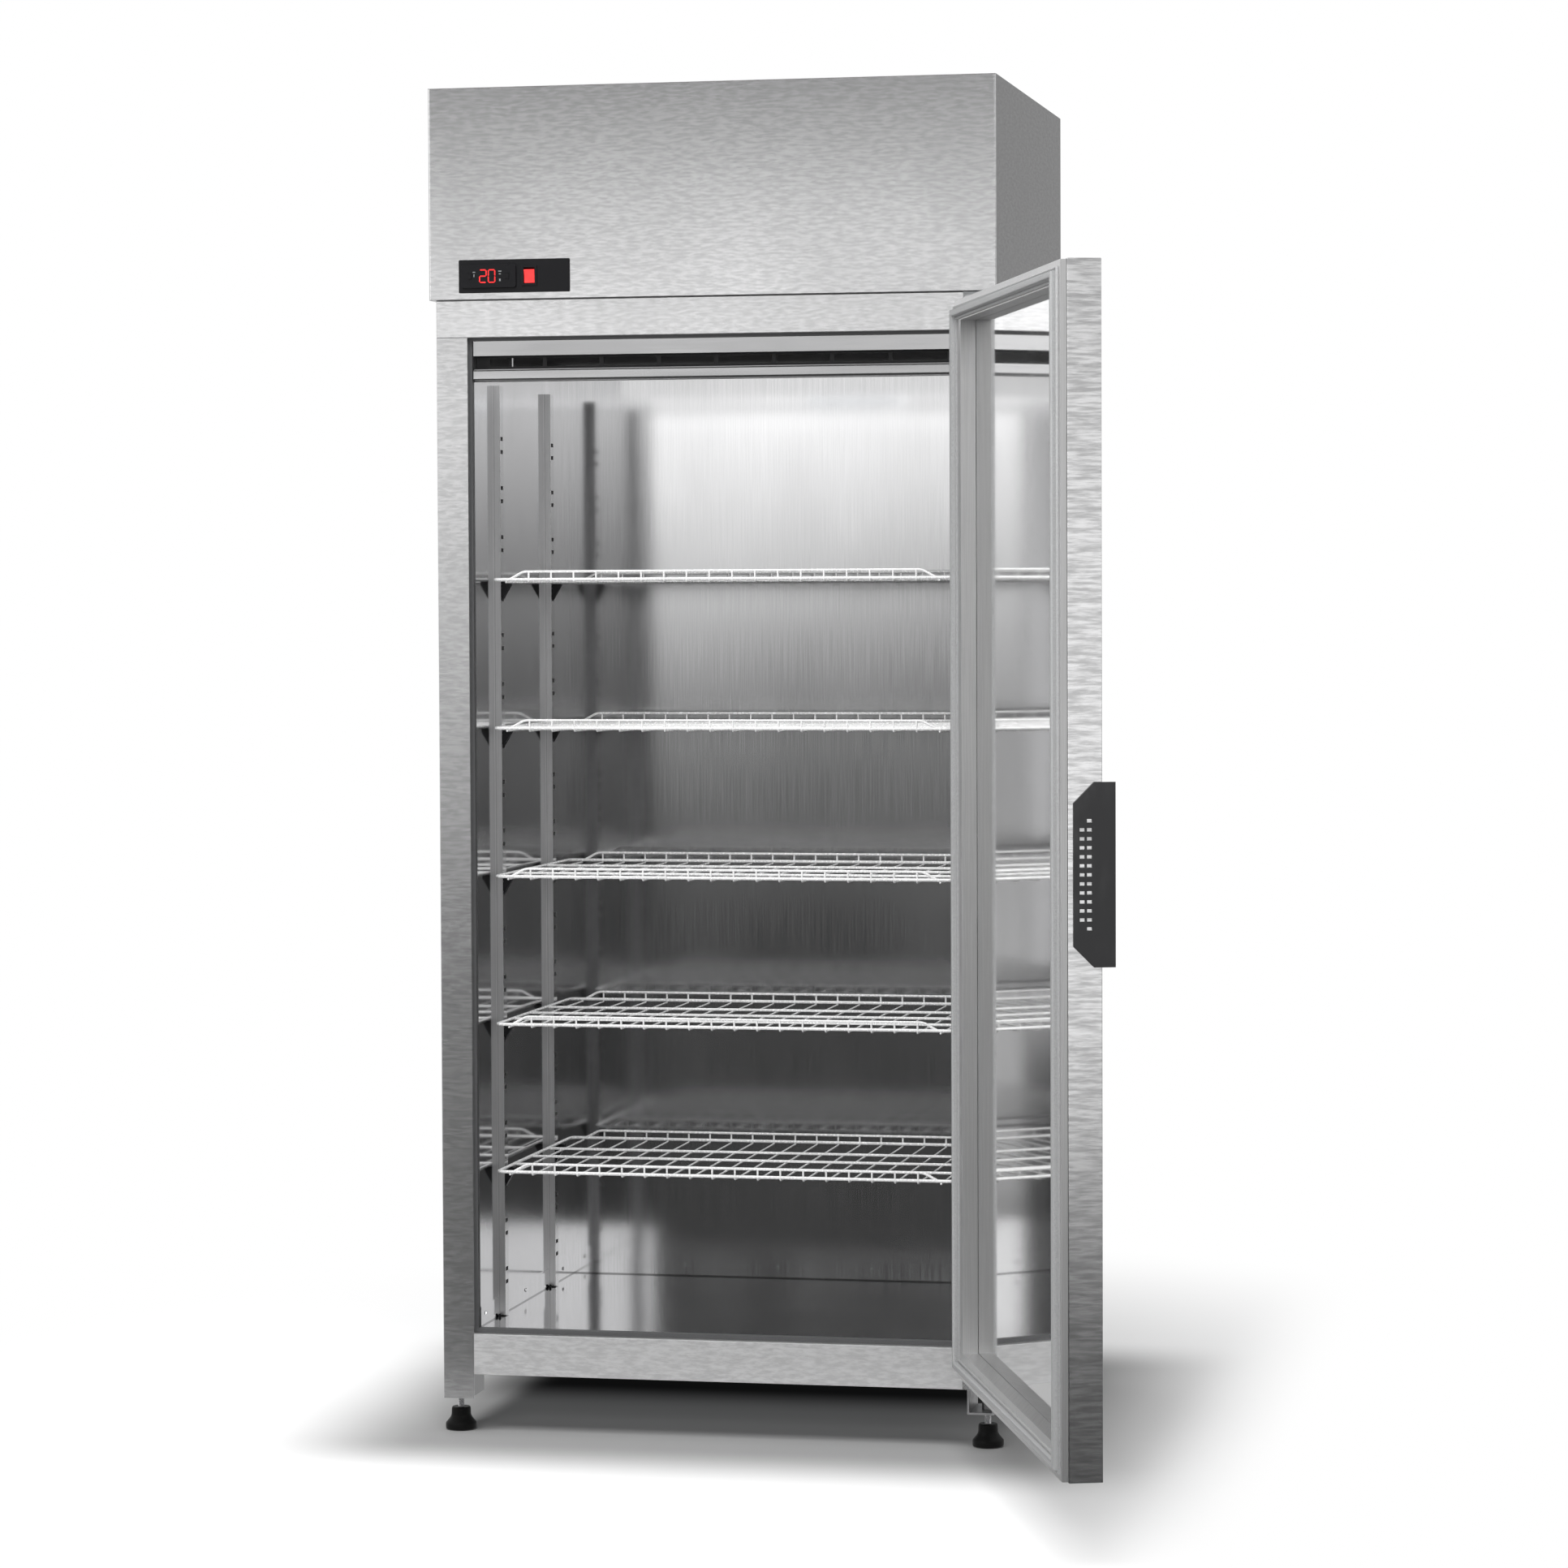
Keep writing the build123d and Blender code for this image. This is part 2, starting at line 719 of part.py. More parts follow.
# Hood over the cooling unit
hood_flange = 24.0
vent_front = front + 300.0
vent_raise = 2.0
panel_left = -383.0
panel_width = 171.0
panel_low = hood_base + 10.0
panel_height = 49.5
panel_sheet = 2.0
panel_z = panel_low + panel_height / 2
meter_width = 84.0
meter_height = 35.0
meter_x = panel_left + 5.0 + meter_width / 2
meter_body = (71.0, 28.0, 58.0)
switch_x = -274.0
switch_body = (19.0, 25.0)
with BuildPart() as hood_cover:
    hood_plan = (
        (-hood_half, back),
        (-hood_half, hood_front),
        (hood_half, hood_front),
        (hood_half, back),
    )
    hood_sides = Plane.XY.offset(hood_base)
    folded(hood_sides, hood_plan, skin, Side.LEFT, hood_height - skin)
    with BuildSketch(hood_sides):
        area((-hood_half, hood_half), (hood_front, back))
        inner_half = hood_half - hood_flange
        area((-inner_half, inner_half), (hood_front + hood_flange, back), Mode.SUBTRACT)
    extrude(amount=skin)
    with BuildSketch(Plane.XZ.offset(-hood_front)):
        with Locations((meter_x, panel_z)):
            Rectangle(meter_body[0] + 1.0, meter_body[1] + 1.0)
        with Locations((switch_x, panel_z)):
            Rectangle(switch_body[0] + 1.0, switch_body[1] + 1.0)
    extrude(amount=-skin, mode=Mode.SUBTRACT)
save(hood_cover, "hood_cover")

vent_half = hood_half - 22.0
vent_slot = vent_half - 78.0
vent_back = back - 14.0
vent_frame = 16.0
with BuildPart() as hood_top:
    with BuildSketch(Plane.XY.offset(top - skin)):
        area((-hood_half, hood_half), (hood_front, back))
        window_half = vent_half - vent_frame
        area((-window_half, window_half), (vent_front + vent_frame, vent_back - vent_frame), Mode.SUBTRACT)
    extrude(amount=skin)
save(hood_top, "hood_top")

with BuildPart() as top_vent:
    with BuildSketch(Plane.XY.offset(top)):
        area((-vent_half, vent_half), (vent_front, vent_back))
        with Locations((0, (vent_front + vent_back) / 2)):
            with GridLocations(vent_slot + 30.0, 28.0, 2, 9):
                Rectangle(vent_slot, 12.0, mode=Mode.SUBTRACT)
    extrude(amount=vent_raise)
save(top_vent, "top_vent")

socket_x = 340.0
socket_z = hood_base + 60.0
socket_size = (28.0, 20.0)
with BuildPart() as rear_grille:
    with BuildSketch(Plane.XZ.offset(-back + skin)):
        area((skin - hood_half, hood_half - skin), (hood_base + skin, top - skin))
        with Locations((-130.0, (hood_base + top) / 2)):
            with GridLocations(230.0, 30.0, 2, 7):
                Rectangle(200.0, 12.0, mode=Mode.SUBTRACT)
        with Locations((socket_x, socket_z)):
            Rectangle(socket_size[0] + 0.4, socket_size[1] + 0.4, mode=Mode.SUBTRACT)
    extrude(amount=-skin)
save(rear_grille, "rear_grille")

# Recessed mains inlet
with BuildPart() as power_inlet:
    with BuildSketch(Plane.XZ.offset(-back)):
        with Locations((socket_x, socket_z)):
            Rectangle(socket_size[0] + 10.0, socket_size[1] + 6.0)
            Rectangle(socket_size[0] - 4.0, socket_size[1] - 4.0, mode=Mode.SUBTRACT)
    extrude(amount=-1.5)
    with BuildSketch(Plane.XZ.offset(-back)):
        with Locations((socket_x, socket_z)):
            Rectangle(*socket_size)
            Rectangle(socket_size[0] - 4.0, socket_size[1] - 4.0, mode=Mode.SUBTRACT)
    extrude(amount=22.0)
    with BuildSketch(Plane.XZ.offset(-back + 22.0)):
        with Locations((socket_x, socket_z)):
            Rectangle(*socket_size)
    extrude(amount=3.0)
    with BuildSketch(Plane.XZ.offset(-back + 22.0)):
        with Locations((socket_x, socket_z)):
            with Locations((-7.0, -1.5), (0, 2.5), (7.0, -1.5)):
                Rectangle(2.0, 5.0)
    extrude(amount=-15.0)
save(power_inlet, "power_inlet")

# Control panel on the hood
key_size = (5.0, 8.0)
key_travel = 1.0
key_depth = 5.0
key_offsets = {"left_key": -29.0, "right_key": 29.0}
with BuildPart() as control_plate:
    with BuildSketch(Plane.XZ.offset(-hood_front)):
        area((panel_left, panel_left + panel_width), (panel_low, panel_low + panel_height))
        fillet(vertices(), 2.0)
        with Locations((meter_x, panel_z)):
            Rectangle(meter_body[0] + 1.0, meter_body[1] + 1.0, mode=Mode.SUBTRACT)
        with Locations((switch_x, panel_z)):
            Rectangle(switch_body[0] + 1.0, switch_body[1] + 1.0, mode=Mode.SUBTRACT)
    extrude(amount=panel_sheet)
save(control_plate, "control_plate")

panel_face = hood_front - panel_sheet
bezel_depth = 3.0
with BuildPart() as thermostat:
    with BuildSketch(Plane.XZ.offset(-panel_face)):
        with Locations((meter_x, panel_z)):
            RectangleRounded(meter_width, meter_height, 4.0)
    extrude(amount=bezel_depth)
    with BuildSketch(Plane.XZ.offset(-panel_face)):
        with Locations((meter_x, panel_z)):
            Rectangle(meter_body[0], meter_body[1])
    extrude(amount=-meter_body[2])
    with BuildSketch(Plane.XZ.offset(-panel_face + bezel_depth)):
        for key_offset in key_offsets.values():
            with Locations((meter_x + key_offset, panel_z)):
                Rectangle(key_size[0] + 2 * bearing, key_size[1] + 2 * bearing)
    extrude(amount=-key_depth, mode=Mode.SUBTRACT)
save(thermostat, "thermostat")

for key_name, key_offset in key_offsets.items():
    with BuildPart() as key:
        with BuildSketch(Plane.XZ.offset(-panel_face + bezel_depth - key_depth + key_travel + bearing)):
            with Locations((meter_x + key_offset, panel_z)):
                Rectangle(*key_size)
        extrude(amount=key_depth)
    save(key, key_name)

rocker_half = 12.0
rocker_width = 16.0
rocker_tilt = 10.0
rocker_axis_y = panel_face + 6.0
with BuildPart() as switch_housing:
    with BuildSketch(Plane.XZ.offset(-panel_face)):
        with Locations((switch_x, panel_z)):
            Rectangle(switch_body[0] + 5.0, switch_body[1] + 5.0)
    extrude(amount=1.5)
    with BuildSketch(Plane.XZ.offset(-panel_face)):
        with Locations((switch_x, panel_z)):
            Rectangle(*switch_body)
    extrude(amount=-26.0)
    with BuildSketch(Plane.XZ.offset(-panel_face + 1.5)):
        with Locations((switch_x, panel_z)):
            Rectangle(rocker_width + 0.6, 2 * rocker_half - 0.4)
    extrude(amount=-17.5, mode=Mode.SUBTRACT)
save(switch_housing, "switch_housing")

tilt = radians(rocker_tilt)
rocker_plane = Plane(
    origin=(switch_x - rocker_width / 2, rocker_axis_y, panel_z),
    x_dir=(0, cos(tilt), sin(tilt)),
    z_dir=(1, 0, 0),
)
with BuildPart() as rocker:
    with BuildSketch(rocker_plane):
        with BuildLine():
            Polyline(
                (5.0, -4.0),
                (-1.0, -10.0),
                (-6.5, -10.0),
                (-5.0, 0),
                (-6.5, 10.0),
                (-1.0, 10.0),
                (5.0, 4.0),
                close=True,
            )
        make_face()
    extrude(amount=rocker_width)
save(rocker, "rocker")

# Cooling unit: the evaporator box stands over the air ways, the rest behind it
box_front = front + 60.0
box_back = slot_back + 26.0
box_wall = 25.0
box_half = 380.0
box_height = 196.0
box_z = (hood_base, hood_base + box_height)
with BuildPart() as evaporator_box:
    block((-box_half, box_half), (box_front, box_back), box_z)
    cavity_x = (box_wall - box_half, box_half - box_wall)
    cavity_y = (box_front + box_wall, box_back - box_wall)
    block(cavity_x, cavity_y, (box_z[0], box_z[1] - box_wall), Mode.SUBTRACT)
save(evaporator_box, "evaporator_box")


def finned_coil(x, y, z, fins):
    """Block of upright fins between two end plates."""
    pitch = (x[1] - x[0]) / fins
    with BuildPart() as coil:
        block(x, y, z)
        with BuildSketch(Plane.XY.offset(z[1])):
            with Locations(((x[0] + x[1]) / 2, (y[0] + y[1]) / 2)):
                with GridLocations(pitch, 1, fins - 1, 1):
                    Rectangle(pitch - 3.0, y[1] - y[0])
        extrude(amount=-(z[1] - z[0]) * 0.8, mode=Mode.SUBTRACT)
    return coil


coil_z = (hood_base + 40.0, box_z[1] - box_wall - 25.0)
evaporator_coil = finned_coil((-330.0, 330.0), cavity_y, coil_z, 16)
save(evaporator_coil, "evaporator_coil")


def fan_rotor(hub_plane, hub_radius, tip_radius, depth, bore, blades, chord):
    """Hub with a bore and flat blades set at a pitch."""
    with BuildPart() as rotor:
        with BuildSketch(hub_plane):
            RegularPolygon(hub_radius, 12)
        extrude(amount=depth)
        for step in range(blades):
            turn = Rot(Z=360.0 * step / blades) * Rot(X=30.0)
            blade_plane = Plane(hub_plane.location * Pos(Z=depth / 2) * turn * Pos(Z=-0.9))
            with BuildSketch(blade_plane):
                with BuildLine():
                    Polyline(
                        (hub_radius * 0.7, -chord * 0.3),
                        (tip_radius * 0.93, -chord / 2),
                        (tip_radius * 0.97, chord * 0.35),
                        (hub_radius * 0.7, chord * 0.25),
                        close=True,
                    )
                make_face()
            extrude(amount=1.8)
        with BuildSketch(hub_plane):
            Circle(bore)
        extrude(amount=depth, mode=Mode.SUBTRACT)
    return rotor


def fan_mount(plane, plate, hole, motor, shaft, reach, rim):
    """Rimmed plate with a round hole, arms across it, a motor in the middle and its shaft."""
    with BuildPart() as mount:
        with BuildSketch(plane):
            Rectangle(*plate)
            RegularPolygon(hole, 24, mode=Mode.SUBTRACT)
            Rectangle(2 * hole + 2.0, 8.0)
            Rectangle(8.0, 2 * hole + 2.0)
        extrude(amount=-2.0)
        with BuildSketch(plane):
            Rectangle(*plate)
            Rectangle(plate[0] - 3.0, plate[1] - 3.0, mode=Mode.SUBTRACT)
        extrude(amount=-rim)
        with BuildSketch(plane.offset(-14.0)):
            RegularPolygon(motor, 12)
        extrude(amount=16.0)
        with BuildSketch(plane.offset(2.0)):
            Circle(shaft)
        extrude(amount=reach - 2.0)
    return mount


fan_shaft = 3.0
fan_plane = Plane(origin=(0, fan_y, hood_base), x_dir=(1, 0, 0), z_dir=(0, 0, -1))
fan_plate = (fan_well + 12.0, fan_well + 12.0)
duct_fan_mount = fan_mount(fan_plane, fan_plate, fan_radius, 17.0, fan_shaft, 30.0, 4.0)
save(duct_fan_mount, "duct_fan_mount")
duct_hub = fan_plane.offset(6.0)
duct_fan = fan_rotor(duct_hub, 16.0, fan_radius - 4.0, 22.0, fan_shaft + bearing, 5, 34.0)
save(duct_fan, "duct_fan")

condenser_x = (-400.0, -60.0)
condenser_y = (back - 60.0, back - 16.0)
condenser_z = (hood_base + 6.0, hood_base + 266.0)
condenser = finned_coil(condenser_x, condenser_y, condenser_z, 14)
save(condenser, "condenser")

condenser_radius = 115.0
shroud_gap = 18.0
shroud_centre = (sum(condenser_x) / 2, condenser_y[0] - shroud_gap, sum(condenser_z) / 2)
shroud_plane = Plane(origin=shroud_centre, x_dir=(1, 0, 0), z_dir=(0, -1, 0))
shroud_plate = (condenser_x[1] - condenser_x[0], condenser_z[1] - condenser_z[0])
shroud_hole = condenser_radius
condenser_shroud = fan_mount(shroud_plane, shroud_plate, shroud_hole, 26.0, 4.0, 28.0, shroud_gap)
save(condenser_shroud, "condenser_shroud")
condenser_hub = shroud_plane.offset(6.0)
condenser_fan = fan_rotor(condenser_hub, 24.0, condenser_radius - 5.0, 20.0, 4.0 + bearing, 5, 50.0)
save(condenser_fan, "condenser_fan")

compressor_place = (250.0, 150.0)
compressor_radius = 72.0
compressor_height = 130.0
with BuildPart() as compressor:
    with BuildSketch(Plane.XY.offset(hood_base)):
        with Locations(compressor_place):
            with GridLocations(150.0, 110.0, 2, 2):
                RegularPolygon(11.0, 8)
    extrude(amount=14.0)
    with BuildSketch(Plane.XY.offset(hood_base + 14.0)):
        with Locations(compressor_place):
            Rectangle(180.0, 140.0)
    extrude(amount=3.0)
    with BuildSketch(Plane.XY.offset(hood_base + 17.0)):
        with Locations(compressor_place):
            RegularPolygon(compressor_radius, 20)
            with Locations((0, -compressor_radius)):
                Rectangle(60.0, 50.0)
    extrude(amount=compressor_height)
    with BuildSketch(Plane.XY.offset(hood_base + 17.0 + compressor_height)):
        with Locations(compressor_place):
            RegularPolygon(compressor_radius, 20)
    extrude(amount=26.0, taper=45)
save(compressor, "compressor")

# Copper pipes: discharge to the condenser, liquid to the evaporator and suction back
pipe_radius = 4.0
compressor_x, compressor_y = compressor_place
pipe_z = hood_base + 90.0
box_top = box_z[1]
pipe_routes = {
    "discharge": (
        (compressor_x - compressor_radius, compressor_y, pipe_z),
        (compressor_x - compressor_radius - 60.0, compressor_y, pipe_z),
        (compressor_x - compressor_radius - 60.0, condenser_y[0] + 22.0, pipe_z),
        (condenser_x[1], condenser_y[0] + 22.0, pipe_z),
    ),
    "liquid": (
        (condenser_x[1], condenser_y[0] + 22.0, pipe_z - 60.0),
        (condenser_x[1] + 60.0, condenser_y[0] + 22.0, pipe_z - 60.0),
        (condenser_x[1] + 60.0, box_back, pipe_z - 60.0),
    ),
    "suction": (
        (compressor_x + 40.0, box_back, pipe_z),
        (compressor_x + 40.0, compressor_y - compressor_radius + 8.0, pipe_z),
    ),
}
with BuildPart() as refrigerant_pipes:
    for route in pipe_routes.values():
        with BuildLine() as run:
            Polyline(*route)
        with BuildSketch(Plane(origin=route[0], z_dir=run.line % 0)):
            RegularPolygon(pipe_radius, 8)
        sweep(path=run.line, transition=Transition.RIGHT)
    drier_x = condenser_x[1] + 60.0
    with BuildSketch(Plane.XZ.offset(-120.0)):
        with Locations((drier_x, pipe_z - 60.0)):
            RegularPolygon(11.0, 12)
    extrude(amount=80.0)
save(refrigerant_pipes, "refrigerant_pipes")

# Cavity lamp, tucked up behind the duct's lip
lamp_half = 80.0
with BuildPart() as cavity_lamp:
    with BuildSketch(Plane.YZ.offset(-lamp_half)):
        with BuildLine():
            Polyline(
                (baffle_face + 30.0, duct_floor),
                (baffle_face + 36.0, duct_floor - 9.0),
                (baffle_face + 54.0, duct_floor - 9.0),
                (baffle_face + 60.0, duct_floor),
                close=True,
            )
        make_face()
    extrude(amount=2 * lamp_half)
save(cavity_lamp, "cavity_lamp")
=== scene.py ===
"""Dress of an upright glass-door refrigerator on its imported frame.

Metres, +Z up, the front faces -Y. Every piece keeps its place in its mesh and rides on a body of
the frame. Sheet-metal parts are eased copies of the frame's own solids, wires are bent and turned
from plain outlines, and everything that shows gets a finish built from nodes.
"""

import contextlib
import json
import logging
import math
from dataclasses import dataclass
from enum import Enum
from typing import Callable, ClassVar, Iterator, Mapping, Sequence, Union

import bmesh
import bpy
from mathutils import Matrix, Vector


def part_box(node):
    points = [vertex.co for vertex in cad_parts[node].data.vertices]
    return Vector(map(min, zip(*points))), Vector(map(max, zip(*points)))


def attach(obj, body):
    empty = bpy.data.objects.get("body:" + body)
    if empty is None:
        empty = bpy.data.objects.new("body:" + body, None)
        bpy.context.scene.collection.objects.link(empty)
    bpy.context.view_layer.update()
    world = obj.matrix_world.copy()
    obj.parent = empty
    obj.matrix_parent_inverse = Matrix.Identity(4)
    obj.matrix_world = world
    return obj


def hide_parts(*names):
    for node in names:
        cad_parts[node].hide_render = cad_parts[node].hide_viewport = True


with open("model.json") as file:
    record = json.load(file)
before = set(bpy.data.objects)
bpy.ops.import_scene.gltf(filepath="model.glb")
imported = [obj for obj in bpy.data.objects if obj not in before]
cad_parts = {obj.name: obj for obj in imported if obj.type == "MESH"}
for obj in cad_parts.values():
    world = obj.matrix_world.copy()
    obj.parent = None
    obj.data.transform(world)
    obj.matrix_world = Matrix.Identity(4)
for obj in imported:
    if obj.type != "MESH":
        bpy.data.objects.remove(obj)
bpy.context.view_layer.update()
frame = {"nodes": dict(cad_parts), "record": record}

log = logging.getLogger("refrigerator")

Rgb = tuple[float, float, float]
Point = tuple[float, float, float]
Number = Union["Value", float]
BLACK: Rgb = (0.0, 0.0, 0.0)
WHITE: Rgb = (1.0, 1.0, 1.0)
Fold = Callable[[Vector, Vector], bool]


# Shader work


class Value:
    """A number that varies over a surface, on which Python's operators add Math nodes."""

    def __init__(self, recipe: "Recipe", socket: bpy.types.NodeSocket) -> None:
        """Wraps a socket of a recipe's tree."""
        self.recipe = recipe
        self.socket = socket

    def _math(self, operation: str, *operands: Number) -> "Value":
        """Adds one Math node with its inputs in order and gives its result."""
        node = self.recipe.node("ShaderNodeMath", {"operation": operation}, dict(enumerate(operands)))
        return Value(self.recipe, node.outputs[0])

    def __add__(self, other: Number) -> "Value":
        """Sum."""
        return self._math("ADD", self, other)

    def __radd__(self, other: Number) -> "Value":
        """Sum with a plain number in front."""
        return self._math("ADD", other, self)

    def __sub__(self, other: Number) -> "Value":
        """Difference."""
        return self._math("SUBTRACT", self, other)

    def __rsub__(self, other: Number) -> "Value":
        """Difference from a plain number."""
        return self._math("SUBTRACT", other, self)

    def __mul__(self, other: Number) -> "Value":
        """Product."""
        return self._math("MULTIPLY", self, other)

    def __rmul__(self, other: Number) -> "Value":
        """Product with a plain number in front."""
        return self._math("MULTIPLY", other, self)

    def __truediv__(self, other: Number) -> "Value":
        """Quotient."""
        return self._math("DIVIDE", self, other)

    def __pow__(self, other: Number) -> "Value":
        """Power."""
        return self._math("POWER", self, other)

    def __abs__(self) -> "Value":
        """Size without sign."""
        return self._math("ABSOLUTE", self)

    def above(self, limit: float) -> "Value":
        """One where the value is above the limit, nought elsewhere."""
        return self._math("GREATER_THAN", self, limit)

    def below(self, limit: float) -> "Value":
        """One where the value is below the limit, nought elsewhere."""
        return self._math("LESS_THAN", self, limit)

    def eased(self, low: float, high: float) -> "Value":
        """Runs smoothly from 0 to 1 between two limits.

        Args:
            low: Where the result is 0.
            high: Where the result is 1; it may be below low.

        Returns:
            The eased value.
        """
        settings = {"interpolation_type": "SMOOTHSTEP"}
        links = {"Value": self, "From Min": low, "From Max": high}
        return Value(self.recipe, self.recipe.node("ShaderNodeMapRange", settings, links).outputs[0])


class Recipe:
    """The node tree of one material or of the world, and the one place where nodes are added."""

    def __init__(self, tree: bpy.types.NodeTree) -> None:
        """Empties a tree and starts it with the piece's own coordinates."""
        self.tree = tree
        self.tree.nodes.clear()
        self.coordinates = self.node("ShaderNodeTexCoord")
        self.place = self.coordinates.outputs["Object"]

    def node(
        self,
        kind: str,
        settings: Mapping[str, object] | None = None,
        inputs: Mapping[str | int, object] | None = None,
    ) -> bpy.types.Node:
        """Adds a node, sets it up, then fills its sockets.

        Args:
            kind: Blender's name for the type of node.
            settings: Its properties.
            inputs: Values, sockets or Value objects by socket name or number.

        Returns:
            The new node.
        """
        made = self.tree.nodes.new(kind)
        for name, setting in (settings or {}).items():
            setattr(made, name, setting)
        for key, given in (inputs or {}).items():
            self.fill(made.inputs[key], given)
        return made

    def fill(self, socket: bpy.types.NodeSocket, given: object) -> None:
        """Links a socket or sets its value.

        Args:
            socket: The input to fill.
            given: A Value, an output socket, a number, or three numbers.
        """
        if isinstance(given, Value):
            self.tree.links.new(given.socket, socket)
        elif isinstance(given, bpy.types.NodeSocket):
            self.tree.links.new(given, socket)
        elif socket.type == "RGBA" and len(given) == 3:
            socket.default_value = (*given, 1.0)
        else:
            socket.default_value = given

    def axes(self, vector: bpy.types.NodeSocket | None = None) -> tuple[Value, Value, Value]:
        """Splits a vector, or else the piece's own coordinates, into its three parts."""
        split = self.node("ShaderNodeSeparateXYZ", None, {0: vector or self.place})
        return tuple(Value(self, split.outputs[number]) for number in range(3))

    def noise(
        self,
        scale: Sequence[float],
        detail: float = 2.0,
        shift: Point = (0.0, 0.0, 0.0),
        vector: bpy.types.NodeSocket | None = None,
    ) -> Value:
        """Cloud noise stretched along the axes.

        Args:
            scale: Features per metre along each axis.
            detail: Blender's detail setting.
            shift: Moves the pattern, in features.
            vector: Coordinates to use in place of the piece's own.

        Returns:
            Noise about 0.5.
        """
        links = {"Vector": vector or self.place, "Location": shift, "Scale": scale}
        mapped = self.node("ShaderNodeMapping", None, links)
        links = {"Vector": mapped.outputs[0], "Scale": 1.0, "Detail": detail}
        cloud = self.node("ShaderNodeTexNoise", None, links)
        return Value(self, cloud.outputs[0])

    def blend(self, factor: Number, first: object, second: object) -> bpy.types.NodeSocket:
        """Mixes two colours or colour sockets; a factor of 0 gives the first, 1 the second."""
        settings = {"data_type": "RGBA", "clamp_factor": True}
        return self.node("ShaderNodeMix", settings, {0: factor, 6: first, 7: second}).outputs[2]

    def facing(self) -> tuple[Value, Value, Value]:
        """The direction that a face looks in."""
        return self.axes(self.node("ShaderNodeNewGeometry").outputs["Normal"])

    def upward(self) -> Value:
        """How far a face looks up or down, from 0 to 1."""
        return abs(self.facing()[2])

    def bump(self, height: Value, distance: float, strength: float) -> bpy.types.NodeSocket:
        """Turns a height, of which 1 stands for a distance in metres, into a normal."""
        links = {"Height": height, "Distance": distance, "Strength": strength}
        return self.node("ShaderNodeBump", None, links).outputs[0]

    def ray(self, kind: str) -> Value:
        """Whether the ray that meets the surface is of a kind, as 0 or 1."""
        return Value(self, self.node("ShaderNodeLightPath").outputs[f"Is {kind} Ray"])

    def surface(self, colour: object, roughness: Number, more: Mapping[str, object]) -> None:
        """Ends the tree with one Principled shader.

        Args:
            colour: Its colour.
            roughness: Its roughness.
            more: Its other inputs by name.
        """
        inputs = {"Base Color": colour, "Roughness": roughness, **more}
        shader = self.node("ShaderNodeBsdfPrincipled", None, inputs)
        self.node("ShaderNodeOutputMaterial", None, {"Surface": shader.outputs[0]})


class Grain(Enum):
    """The way the brushing runs."""

    LEVEL = "level"
    UPRIGHT = "upright"


@dataclass(frozen=True)
class Finish:
    """A surface finish; its material is built once and shared.

    Attributes:
        name: Name of the material.
        colour: Its main colour, linear.
        roughness: Its mean roughness.
    """

    name: str
    colour: Rgb
    roughness: float
    built: ClassVar[dict[str, bpy.types.Material]] = {}

    def material(self) -> bpy.types.Material:
        """The finish as a material."""
        if self.name not in self.built:
            made = bpy.data.materials.new(self.name)
            made.use_nodes = True
            made.diffuse_color = (*self.colour, 1.0)
            self.mix(Recipe(made.node_tree))
            self.built[self.name] = made
        return self.built[self.name]

    def mix(self, recipe: Recipe) -> None:
        """Builds the node tree; each finish has its own."""
        raise NotImplementedError

    def dark(self, share: float) -> Rgb:
        """The main colour times a share."""
        return tuple(part * share for part in self.colour)


@dataclass(frozen=True)
class BrushedSteel(Finish):
    """Stainless sheet brushed in short wavy strokes.

    Attributes:
        grain: The way the strokes run.
        stroke: Length of a stroke in metres.
        line: Height of a stroke in metres.
        contrast: How much the strokes darken the sheet.
        wave: How far the strokes wander, in metres.
        shift: Moves the pattern so that neighbours differ.
    """

    grain: Grain = Grain.LEVEL
    stroke: float = 0.016
    line: float = 0.0038
    contrast: float = 0.16
    wave: float = 0.003
    shift: float = 0.0

    def mix(self, recipe: Recipe) -> None:
        """Strokes in colour, roughness and bump, with wide soft patches of handling."""
        wander = (recipe.noise((9.0, 9.0, 14.0), 1.0, (self.shift, 3.0, 1.0)) - 0.5) * self.wave * 2.0
        x, y, z = recipe.axes()
        long, thin = 1.0 / self.stroke, 1.0 / self.line
        if self.grain is Grain.LEVEL:
            parts = {0: x, 1: y, 2: z + wander}
            wall, lid = (long, long, thin), (long, thin, long)
        else:
            parts = {0: x + wander, 1: y + wander, 2: z}
            wall, lid = (thin, thin, long), (thin, long, long)
        bent = recipe.node("ShaderNodeCombineXYZ", None, parts).outputs[0]
        shift = (self.shift, self.shift * 0.7, self.shift * 1.3)
        flat = recipe.upward().above(0.7)
        broad = recipe.noise(wall, 3.0, shift, bent)
        broad = broad + (recipe.noise(lid, 3.0, shift, bent) - broad) * flat
        fine = recipe.noise([part * 3.1 for part in wall], 2.0, shift, bent)
        hair = recipe.noise([1.2 * long if part == long else 7.0 * thin for part in wall], 1.0, shift, bent)
        patch = recipe.noise((2.2, 2.2, 1.6), 2.0, shift)
        strokes = (broad * 0.72 + fine * 0.18 + hair * 0.10).eased(0.34, 0.66)
        tone = recipe.blend(strokes, self.dark(1.0 - self.contrast), self.dark(1.0 + self.contrast * 0.4))
        tone = recipe.blend(patch.eased(0.35, 0.75) * 0.35, tone, self.dark(0.86))
        gloss = self.roughness + (hair - 0.5) * 0.05 + (patch - 0.5) * 0.08
        recipe.surface(tone, gloss, {"Metallic": 1.0, "Normal": recipe.bump(strokes, 0.00002, 0.2)})


